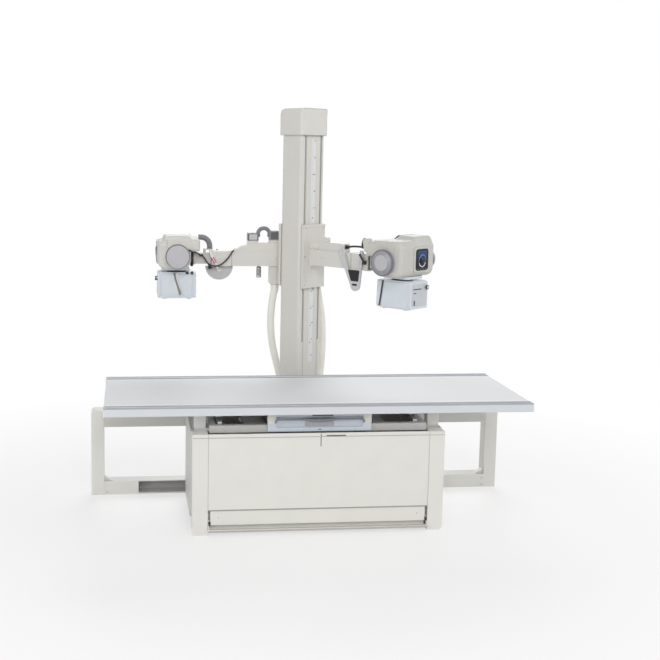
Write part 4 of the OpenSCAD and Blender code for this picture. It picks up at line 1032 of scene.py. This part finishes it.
class ColumnOperator(bpy.types.Operator):
    """Slotted column with its cap, scale, pulley, cable and counterweight"""
    bl_idname = "radiography.column"
    bl_label = "Add Column"

    def numbers(self):
        """Heights in centimetres beside the scale's long marks."""
        shape = Shape(COLUMN_METRES)
        for cm in range(80, 211, 10):
            text = bpy.data.curves.new("number", "FONT")
            text.body, text.size, text.extrude = str(cm), 0.0125, 0.00012
            text.align_x, text.align_y = "CENTER", "CENTER"
            word = new_object("number", text)
            bpy.context.view_layer.update()
            flat = bpy.data.meshes.new_from_object(evaluated(word))
            flat.transform(Matrix.Translation((0.0822, 0.0125, cm * 0.01)) @ AXES["x"])
            shape.bm.from_mesh(flat)
            bpy.data.objects.remove(word)
            bpy.data.meshes.remove(flat)
        shape.done("scale_numbers", "column", "scale_ink", angle=60, flip=False)

    def cap(self):
        """The moulded cap: its back edge is rounded widely, its front edge is crisp."""
        half_x, half_y, low, high, corner, lip, crisp = 95.5, 120, 2131, 2289, 26, 40, 5
        rings = [(low, 3, 3), (low + 3, 0, 0)]
        for k in range(9):
            t = math.radians(90 * k / 8)
            rings.append((high - lip + lip * math.sin(t), lip * (1 - math.cos(t)), 0))
        loops = []
        for z, back, all_round in rings:
            inset = max(all_round, crisp - (high - z) if z > high - crisp else 0)
            loops.append([(x, y, z) for x, y in rounded(
                -half_x + back + inset, -half_y + inset, half_x - inset, half_y - inset,
                max(3, corner - back * 0.4))])
        Shape(COLUMN).loft(loops).done("column_cap_shell", "column", "stand_coat", angle=40,
                                       nodes=("column_cap",))
        Shape(COLUMN).plate(60, -104, 92, 104, 6, "z", 2287.6, 2290.4).plate(
            -97, 2130.2, 97, 2132.4, 1, "x", 76, 95.9).done(
            "column_cap_trim", "column", "seam_grey", 0.5)

    def execute(self, context):
        dress("stand_coat", column_profile=1.0)
        self.cap()
        dress("tabletop_laminate", scale_strip=0.4)
        dress("ground_steel", top_pulley=0.5)
        dress("cast_iron", counterweight=3.0)
        dress("ground_steel", lift_cable=0.0)
        grown("scale_marks", "column", "Scale Marks", "scale_ink", {
            "Count": 134, "Pitch": (0, 0, 0.01), "Mark": (0.0004, 0.006, 0.0008), "Every": 5,
            "Stretch": 1.7},
            into=COLUMN_METRES @ Matrix.Translation((0.0821, -0.008, 0.77)))
        self.numbers()
        guides = Shape(COLUMN)
        for _, y0, y1 in side_pair(62.5, 64.5):
            guides.block((80.3, y0, 262), (81.3, y1, 2128))
        guides.done("slot_guide_strips", "column", "mid_grey_moulding", 0.2)
        screws("scale_strip_screws", "column", {
            (1, 0, 0): grid(82, 0, (880, 985, 1090, 1195, 1640, 1900))}, COLUMN, 0.0036,
            "dark_recess")
        screws("cap_screws", "column", {
            (0, s, 0): grid((-56, 56), s * 120, 2150) for s in (-1, 1)}, COLUMN, look="stand_coat")
        Shape(COLUMN).plate(-84, -108.5, 84, 108.5, 25, "z", 230, 244).done(
            "column_foot_collar", "column", "stand_coat", 1.5, slot="grey_paint")
        return {"FINISHED"}


class CarriageOperator(bpy.types.Operator):
    """Carriage on the column, with its rollers and pointer"""
    bl_idname = "radiography.carriage"
    bl_label = "Add Carriage"

    def execute(self, context):
        dress("stand_coat", carriage=1.5)
        dress("ground_steel", carriage_rollers=0.4)
        screws("carriage_screws", "carriage", {
            (s, 0, 0): grid(s * 101.5, (-84, 84), (1240, 1411, 1582)) for s in (-1, 1)},
            COLUMN, 0.0055)
        Shape(COLUMN).slab([(-7, 1230), (7, 1230), (0, 1212)], "x", 84.6, 102.2).done(
            "height_pointer", "carriage", "dark_recess", 0.5)
        Shape(COLUMN).plate(-99, 1586, 99, 1603, 5, "x", 84, 104).plate(
            -99, 1219, 99, 1230, 4, "x", 85, 103.2).done(
            "carriage_trims", "carriage", "stand_coat", 1.2)
        return {"FINISHED"}


# ------------------------------------------------------------------ arms

class ArmsOperator(bpy.types.Operator):
    """Both telescopic arms with their covers, clamps and conduits"""
    bl_idname = "radiography.arms"
    bl_label = "Add Arms"

    def execute(self, context):
        for side, _ in ARMS:
            dressed(side + "_outer_arm", "stand_coat", 1.8)
            dressed(side + "_inner_arm", "inner_arm_coat", 1.2)
        dressed("right_arm_cover", "stand_coat", 3.0, 3)
        self.left_cover()
        for (side, place), at in zip(ARMS, ((200, 300, 500), (150, 330, 500))):
            screws(side + "_arm_screws", "carriage", {
                (0, s, 0): grid(at, s * 45, 0) for s in (-1, 1)}, place, 0.005)
            lever = Shape(place)
            lever.turned([(3, 0), (11, 0), (12, 1.5), (12, 14), (10, 16)], "y", (528, -65, 0), 30)
            lever.tube([(528, -60, 0), (520, -64, 14), (508, -68, 34), (500, -69, 48)],
                       [6, 5, 4.5, 5.5], 12)
            lever.done(side + "_clamp_lever", "carriage", "black_moulding", 0.5, angle=50)
            Shape(place).plate(-46.3, -46.9, 46.3, 46.9, 4, "x", 420, 421.4).done(
                side + "_arm_seam", "carriage", "dark_recess", 0.1, slot="grey_plastic")
            Shape(place).plate(-40, -40, 40, 40, 5, "x", 544.8, 547.4).done(
                side + "_arm_wiper", "carriage", "black_moulding", 0.5)
        self.left_connectors()
        self.left_dial()
        self.left_sleeve()
        self.right_fittings()
        return {"FINISHED"}

    def left_cover(self):
        """The left arm's cover, which sweeps down to the arm, and its two connector bases."""
        cover = Shape(LEFT)
        for half, corners in (
                (38, [(128, 45.2, 1), (412, 45.2, 0.5), (396, 50, 30), (352, 76, 40),
                      (300, 92, 60), (250, 97, 10), (128, 97, 8)]),
                (30, [(256, 90, 1), (320, 80, 1), (320, 112, 4), (256, 112, 4)]),
                (30, [(130, 90, 1), (186, 90, 1), (186, 116, 4), (130, 116, 4)])):
            cover.slab(filleted(corners), "y", -half, half)
        cover.done("left_arm_cover_shell", "carriage", "stand_coat", 5.0, 4,
                   nodes=("left_arm_cover",))

    def left_connectors(self):
        """Two connector boxes on the cover, their lids and blocks, and the conduit between."""
        boxes = Shape(LEFT).plate(254.6, 108, 321.4, 156, 4, "y", -31, 31)
        boxes.plate(128.6, 112, 187.4, 170, 4, "y", -31, 31)
        boxes.done("left_connector_boxes", "carriage", "mid_grey_moulding", 2.0)
        Shape(LEFT).plate(262, 116, 314, 148, 4, "y", 30.6, 33).done(
            "left_connector_lid", "carriage", "lid_grey", 0.8)
        blocks = Shape(LEFT).plate(136, 120, 180, 162, 4, "y", 30.6, 33)
        for x in (258, 314):
            blocks.plate(x, 112, x + 5, 152, 2, "y", 31, 36)
        blocks.done("left_connector_blocks", "carriage", "dark_grey_paint", 0.8)
        catch = Shape(LEFT)
        catch.tube([(564, 34, -34), (548, 30, -52), (540, 26, -60)], [6, 7, 5], 12)
        catch.turned([(3, 0), (10, 0), (10, 9), (8, 11)], "y", (556, 26, -56), 24)
        catch.done("left_dial_catch", "carriage", "black_moulding", 0.6, angle=50)
        loop = []
        for i in range(33):
            x, z = around(36, math.radians(-28 + 236 * i / 32))
            loop.append((221 + x, 8, 150 + z))
        grown("left_conduit_loop", "carriage", "Bellows", "mid_grey_moulding",
              {"Radius": 0.011, "Ring": 0.0022, "Pitch": 0.0056}, loop,
              edges=[(i, i + 1) for i in range(32)], place=LEFT)

    def left_dial(self):
        """The half disc under the left arm with its rim, and the lock knob."""
        arc = [around(80, math.radians(a)) for a in range(-178, 0, 8)]
        rim = Shape(LEFT)
        for y in (16.5, -16.5):
            rim.tube([(495 + x, y, z - 50) for x, z in arc], 3, 10)
        rim.turned([(4, 0), (15, 0), (16, 1), (16, 38), (15, 39)], "y", (495, -19.5, -70), 36)
        rim.done("left_dial_rim", "carriage", "rail_extrusion", angle=45)
        dress("dial_grey", left_arm_disc=1.0)
        dress("knob_satin", left_lock_knob=2.5)
        bands = Shape(LEFT)
        for z, radius, wide in ((-116, 15.8, 8), (-66, 15.6, 3)):
            bands.turned([(14, 0), (radius, 0.5), (radius, wide), (14, wide + 0.5)], "z",
                         (248, 0, z), 36, ring=True)
        bands.done("lock_knob_bands", "lock_knob", "bright_plating", angle=40)

    def left_sleeve(self):
        """The white sleeve behind the left arm, with two bands along it."""
        route = [(546, 22, 50), (551, 38, 52), (553, 48, 44), (549, 50.5, 28), (540, 50.5, 8),
                 (528, 50, -14), (516, 47, -36), (508, 36, -56), (504, 20, -64)]
        path = [p / MILLIMETRE for p in smooth_path(route, 0.004)]
        Shape(LEFT).tube(path, 7.5, 14).done("left_arm_sleeve", "carriage", "cream_sleeve",
                                             angle=60)
        part = path[int(0.40 * len(path)):int(0.66 * len(path))]
        across = (part[-1] - part[0]).cross(Vector((0, 1, 0))).normalized()
        bands = Shape(LEFT)
        for d in (-5, 5):
            bands.tube([p + across * d + Vector((0, 4.4, 0)) for p in part], 4, 10)
        bands.done("marker_bands", "carriage", "marker_band_ink", angle=60)

    def right_fittings(self):
        """The right arm's pull stirrup with its pad, and both ends of its lead."""
        dressed("right_stirrup", "stirrup_grey", 2.4, 3)
        Shape(RIGHT).slab([(440, -113), (489, -113), (492, -108), (498.5, -52), (495, -48),
                           (419, -48), (415, -52), (436, -108)], "y", -66, -48.4).done(
            "stirrup_pad", "carriage", "grip_rubber", 2.2, 3)
        ribs = Shape(RIGHT)
        for k in range(6):
            z = -58 - 9 * k
            ribs.plate(424 + 3.2 * k, z - 1.7, 492 - 1.4 * k, z + 1.7, 1.6, "y", -67.6, -65.4)
        ribs.done("stirrup_pad_ribs", "carriage", "grip_rubber", 0.5)
        Shape(RIGHT).plate(447, -139, 483, -127, 5.5, "y", -63.8, -62).done(
            "stirrup_slot", "carriage", "black_moulding", 0.4)
        screws("stirrup_bolts", "carriage", {(0, -1, 0): grid((366, 507), -63, 34)}, RIGHT, 0.0075)
        Shape(RIGHT).plate(336, 62, 352, 88, 5, "y", -14, 14).turned(
            [(6.5, 0), (11, 1), (11, 10), (9, 12), (9, 16), (6.5, 17)], "x", (352, 0, 76), 26,
            ring=True).done("right_lead_gland", "carriage", "black_moulding", 0.8)
        Shape(RIGHT).plate(-17, 55, 17, 84, 6, "x", 572, 592).done(
            "right_lead_socket", "right_inner", "black_moulding", 1.5)


# ------------------------------------------------------------------ tube heads

class HeadsOperator(bpy.types.Operator):
    """Both tube heads: casting, end caps, covers and the neck to the collimator"""
    bl_idname = "radiography.heads"
    bl_label = "Add Tube Heads"

    def execute(self, context):
        for side, place in ARMS:
            body = side + "_head"
            dressed(side + "_tube_housing", "lilac_grey_casting", 1.0)
            self.shell(side, place)
            if side == "right":
                self.right_trim(place)
            self.caps(side, place, body)
            if side == "right":
                self.right_rear_end(place)
            self.neck(side, place, body)
            self.boots(side, place, body)
        return {"FINISHED"}

    def shell(self, side, place):
        """The head's moulded shell: a low front part, a high rear part and a step by the arm."""
        low, high, ridge = (145, 168, RIDGE) if side == "right" else (132, 145, -58)
        near, far = eased(-174, 140, 22)
        runs = near + [(y, 0) for y in (-100, -40, -34, -28, -22, -16, -10, 60)] + far
        rings = []
        for y, d in runs:
            t = min(1, max(0, (y + 40) / 30))
            top = low + (high - low) * t * t * (3 - 2 * t)
            brow = [(116, 116, 14, 1, 1), (90, top, 26, 1, 1)] if side == "right" else [
                (116, 103, 9, 1, 1), (82, 111, 6, 1, 1), (75, top, 10, 1, 1)]
            corners = [(-82, -57, 56, -1, -1), (116, -57, 46, 1, -1), *brow,
                       (ridge, top, 8, -1, 1), (ridge - 22, low + 0.4, 8, 1, 1),
                       (-84, low, 7, -1, 1), (-84, low - 8, 3, -1, 1),
                       (-137, low - 8, 14, -1, 1), (-137, 50, 10, -1, -1), (-82, 50, 8, -1, -1)]
            rings.append([(HEAD + x, y, z) for x, z in filleted(
                [(x - sx * d, z - sz * d, max(1, r - 0.4 * d)) for x, z, r, sx, sz in corners])])
        Shape(place).loft(rings).done(side + "_head_shell", side + "_head", side + "_head_coat",
                                      angle=34, nodes=(side + "_head_cover",))

    def right_trim(self, place):
        """A black slab on the right shell's step, painted shade on the step's wall, and the horn
        beside the arm.
        """
        x = HEAD + RIDGE
        Shape(place).slab([(x - 40, 144), (x - 20, 144), (x + 4, 168.6), (x - 8, 168.6)], "y",
                          -14, 118).done("right_top_seal", "right_head", "black_moulding", 1.5)
        Shape(place).slab(filleted([(612, 74, 12), (646, 74, 8), (646, 138, 8), (632, 150, 10),
                                    (606, 150, 14), (600, 132, 14)]), "y", -176, -130).done(
            "right_head_horn", "right_head", "right_head_coat", 8.0, 4)

    def right_rear_end(self, place):
        """The stepped casting behind the right tube, with its rounded end."""
        end = [(57, 201), (57.6, 204), (57.6, 231), (54.5, 237), (48, 239.4), (0, 240)]
        Shape(place).turned(end, "y", (HEAD, 0, TUBE_Z), 64).done(
            "right_rear_end", "right_head", "lilac_grey_casting", angle=28)

    def caps(self, side, place, body):
        """Rims, discs and bands on both ends of the tube; the right head's discs stand proud."""
        inner, face, proud = (66, 44, 7) if side == "right" else (69.5, 66, 0)
        rims, discs, bands = Shape(place), Shape(place), Shape(place)
        for s in (-1, 1):
            centre = (HEAD, s * 200, TUBE_Z)
            rims.turned([(r, s * (2.4 + a)) for r, a in (
                (inner, -3), (inner, 0), (72, 0.6), (74, -2), (74, -14), (71, -15), (71, -4))],
                "y", centre, 72, ring=True)
            discs.turned([(r, s * a) for r, a in (
                (0, proud + 2.6), (face * 0.7, proud + 2.4), (face - 2, proud + 1.8),
                (face, proud + 0.8), (face, -3), (0, -3))], "y", centre, 72)
            bands.turned([(r, s * a) for r, a in (
                (face + 0.4, -3), (face + 0.4, proud - 0.6), (face + 3, proud - 0.8),
                (inner - 2, 1.2), (inner + 0.2, 1.6), (inner + 0.2, -3))], "y", centre, 72,
                ring=True)
        rims.done(side + "_cap_rims", body, "cap_rim_grey", angle=28)
        discs.done(side + "_cap_discs", body, "cap_disc_face", angle=28)
        bands.done(side + "_cap_bands", body, "cap_band_grey", angle=28)

    def neck(self, side, place, body):
        """What joins the head to its collimator and its arm, and the joints of its covers."""
        Shape(place).plate(HEAD - 78, -84, HEAD + 92, 70, 16, "z", -71, -55).done(
            side + "_neck_plate", body, "collimator_shell", 2.0)
        Shape(place).turned([(40, 0), (58, 0), (60, 1.5), (60, 6), (56, 8), (40, 8)], "z",
                            (HEAD, 0, -79.8), 48, ring=True).done(
            side + "_neck_ring", body, "black_moulding", angle=28)
        Shape(place).block((HEAD + 62, -174.5, -26), (HEAD + 63.6, -172, 112)).block(
            (HEAD + 62, 139, -30), (HEAD + 63.6, 140.5, 120)).block(
            (HEAD - 84.6, -150, 142), (HEAD - 83.4, 120, 144.2)).done(
            side + "_cover_seams", body, "seam_grey", 0.1)
        Shape(place).turned([(70.3, 134), (73, 136), (73, 171), (71.5, 173.5), (70.3, 173.5)],
                            "y", (HEAD, 0, TUBE_Z), 64, ring=True).done(
            side + "_barrel_sleeve", body, side + "_head_coat", angle=28)
        Shape(place).turned([(40, 0), (50, 0), (52, 2), (52, 12), (46, 16), (40, 16)], "x",
                            (656, 0, 0), 48, ring=True).done(
            side + "_trunnion_ring", body, "black_moulding", angle=28)

    def boots(self, side, place, body):
        """The short black boot on the head; the left one ends at a clip on the arm."""
        route, sizes, steps = (
            ([(604, -150, 142), (596, -150, 134), (588, -147, 122), (582, -143, 108),
              (579, -139, 92)], [13, 12, 10.5, 9.5, 9], 16) if side == "right" else
            ([(700, 158, 60), (668, 120, 52), (640, 88, 40), (624, 66, 30), (612, 58, 24)],
             [6, 5, 4.6, 4.5, 4.5], 12))
        Shape(place).tube(route, sizes, steps).done(side + "_head_boots", body, "cable_jacket",
                                                    angle=60)
        if side == "left":
            Shape(place).plate(598, 14.5, 621, 29.5, 5, "y", 60, 69.4).done(
                "left_lead_clip", "left_inner", "black_moulding", 1.5)


class ConsolesOperator(bpy.types.Operator):
    """Control face on the front of each tube head"""
    bl_idname = "radiography.consoles"
    bl_label = "Add Consoles"

    def execute(self, context):
        for side, place in ARMS:
            self.console(side, side + "_head", place @ Matrix.Translation((873, 8, 40)))
        return {"FINISHED"}

    def console(self, side, body, place):
        name = side + "_console_"
        Shape(place).plate(-71, -71, 71, 71, 22, "x", -1, 6.5, 8).done(
            name + "bezel", body, side + "_head_coat", 2.5, 3, nodes=(side + "_console",))
        Shape(place).plate(-59, -60, 59, 60, 18, "x", 5, 8.2, 8).done(
            name + "glass", body, "display_glass", 1.2, 3)
        Shape(place).plate(-46, -12, 46, 50, 14, "x", 8.0, 8.45, 8).done(
            name + "screen", body, self.screen(name + "light", place), 0.1, slot="black_plastic")
        for part, start, end, thick in (("ring", 196, 344, 3.4), ("halo", -8, 188, 4.6)):
            arc, sizes = [], []
            for k in range(31):
                y, z = around(1, math.radians(start + (end - start) * k / 30))
                arc.append((8.2, 31 * y, 33 * z - 6))
                sizes.append(thick * min(1, 0.4 + 4 * min(k, 30 - k) / 30))
            Shape(place).tube(arc, sizes, 10).done(name + part, body, "console_" + part, angle=60)
        Shape(place).turned([(22, 0), (22, 1.6), (19, 3.4), (8, 4), (0, 4)], "x", (8.1, 0, -6),
                            48).done(name + "dial", body, "display_glass", angle=28)
        Shape(place).block((11.9, -1, -2), (12.4, 1, 8)).done(
            name + "mark", body, "mid_grey_moulding")
        keys = Shape(place)
        for y in (-44, -20, 4, 28):
            keys.plate(y, -55, y + 14, -50, 2, "x", 8.0, 8.8)
        keys.done(name + "keys", body, "dark_grey_paint", 0.3, slot="grey_plastic")

    def screen(self, name, place):
        """Blue light that fades downwards over the glass."""
        mat = finish("console_light", name)
        tree = mat.node_tree
        level = place.translation.z
        where = add_node(tree, "ShaderNodeTexCoord").outputs["Object"]
        height = add_node(tree, "ShaderNodeSeparateXYZ", where).outputs["Z"]
        fade = add_node(tree, "ShaderNodeMapRange", height, From_Min=level + 0.004,
                        From_Max=level + 0.05)
        shader = tree.nodes["Principled BSDF"]
        shade = add_ramp(tree, fade.outputs[0], linear(6, 9, 18), linear(48, 92, 158))
        tree.links.new(shade, shader.inputs["Emission Color"])
        shader.inputs["Emission Strength"].default_value = 0.5
        return mat


class CollimatorsOperator(bpy.types.Operator):
    """Both collimators with their cheeks, window, slots, knobs and lever"""
    bl_idname = "radiography.collimators"
    bl_label = "Add Collimators"

    def execute(self, context):
        for side, place in ARMS:
            place = place @ Matrix.Translation((HEAD, 0, 0))
            self.box(side, place, side + "_collimator")
            self.fittings(side, place, side + "_collimator")
            if side == "left":
                self.left_levers(place)
        return {"FINISHED"}

    def box(self, side, place, body):
        """The collimator's box with its panels, cheeks and slots."""
        dressed(body, "collimator_shell", 2.0, 3)
        panels = Shape(place).slab(filleted([(-90, -234, 10), (92, -234, 10), (86, -90, 10),
                                             (-66, -90, 10)]), "y", -80.5, -76.5)
        panels.plate(-92, -226, 92, -92, 10, "y", 76.5, 80.5)
        panels.done(side + "_shutter_panels", body, "collimator_shell", 2.0, 3)
        Shape(place).plate(-70, -222, 70, -94, 12, "x", 114, 117.4).plate(
            -70, -222, 70, -94, 12, "x", -117.4, -114).done(
            side + "_cheek_plates", body, "cheek_grey", 1.4)
        slots = Shape(place).plate(-52, -216, -40, -186, 5, "x", 116.6, 118)
        slots.plate(-54, -150, -30, -144, 2.5, "x", 116.6, 118)
        slots.plate(-60, -128, 20, -122, 2.5, "x", 116.6, 118)
        slots.slab([(-100, -231), (-94, -231), (-72, -86), (-78, -86)], "y", -84.2, -76)
        slots.done(side + "_collimator_slots", body, "dark_recess", 0.2)
        Shape(place).slab(filleted([(-118, -226, 6), (-101, -230, 4), (-80, -88, 4),
                                    (-112, -84, 8)]), "y", -85, -60).done(
            side + "_cheek_wrap", body, "collimator_shell", 2.5, 3)

    def fittings(self, side, place, body):
        """The light window with its cross, the tracks under it, and the field knob."""
        Shape(place).plate(-44.6, -44.6, 44.6, 44.6, 3, "z", -232, -229).done(
            side + "_light_window", body, "light_window", 0.4)
        Shape(place).block((-44, -0.5, -232.4), (44, 0.5, -231.9)).block(
            (-0.5, -44, -232.4), (0.5, 44, -231.9)).done(
            side + "_window_cross", body, "black_moulding")
        tracks = Shape(place)
        for _, x0, x1 in side_pair(62, 84):
            tracks.slab([(x0, -244), (x1, -244), (x1, -239.5), (x0, -239.5)], "y", -70, 70)
        tracks.done(side + "_accessory_tracks", body, "rail_extrusion", 0.8)
        dressed(side + "_knob", "black_moulding", 1.5)
        trim = Shape(place)
        trim.turned([(12.6, 0), (13.6, 0.6), (13.6, 4), (12.6, 4.6)], "x", (118, *KNOB), 30, True)
        trim.turned([(4, 0), (10.5, 0), (10, 1.2), (0, 1.6)], "x", (131.9, *KNOB), 30)
        trim.done(side + "_knob_trim", side + "_knob", "bright_plating", angle=28)

    def left_levers(self, place):
        """Blade knobs and the lever with its guide, on the side away from the column."""
        body = "left_collimator"
        knobs = Shape(place)
        for x in (-92, -62):
            knobs.turned([(9, 0), (9, 3), (8, 4), (8, 16), (5, 17)], "y", (x, 76, -84), 26)
        knobs.done("left_blade_knobs", body, "black_moulding", 0.3)
        lever = Shape(place)
        lever.tube([(16, 92, -86), (10, 94, -120), (-6, 95, -170), (-20, 95, -214)],
                   [5.5, 5, 5, 6.5], 14)
        lever.turned([(8, 0), (8, 16), (6, 17)], "y", (16, 79, -90), 24)
        # The lever's dark grey is partly painted shadow beside the guide.
        lever.done("left_collimator_lever", body, "lever_steel", 0.4, angle=50)
        Shape(place).slab([(-8, -84), (26, -84), (2, -210), (-14, -214)], "y", 79, 89).done(
            "left_lever_guide", body, "moulded_warm_white", 1.5)


# ------------------------------------------------------------------ panel and registration

OPERATORS = (StageOperator, HosesOperator, PedestalOperator, TabletopOperator, LiftOperator,
             BuckyOperator, RailsOperator, TrolleyOperator, ColumnOperator, CarriageOperator,
             ArmsOperator, HeadsOperator, ConsolesOperator, CollimatorsOperator)


class BUILD_PT_radiography(bpy.types.Panel):
    """Settings and pieces of the radiography machine"""
    bl_idname = "BUILD_PT_radiography"
    bl_label = "Radiography Machine"
    bl_space_type = "VIEW_3D"
    bl_region_type = "UI"
    bl_category = "Radiography"

    def draw(self, context):
        for settings in (paint(), shapes()):
            box = self.layout.box()
            for key in type(settings).__annotations__:
                box.prop(settings, key)
        steps = self.layout.column(align=True)
        for step in OPERATORS:
            steps.operator(step.bl_idname)


CLASSES = (PaintSettings, ShapeSettings, *OPERATORS, BUILD_PT_radiography)


def register():
    for item in CLASSES:
        bpy.utils.register_class(item)
    bpy.types.Scene.radiography_paint = bpy.props.PointerProperty(type=PaintSettings)
    bpy.types.Scene.radiography_shapes = bpy.props.PointerProperty(type=ShapeSettings)


def unregister():
    del bpy.types.Scene.radiography_shapes
    del bpy.types.Scene.radiography_paint
    for item in reversed(CLASSES):
        bpy.utils.unregister_class(item)


def main():
    register()
    for step in OPERATORS:
        group, name = step.bl_idname.split(".")
        getattr(getattr(bpy.ops, group), name)()


if __name__ == "__main__":
    main()
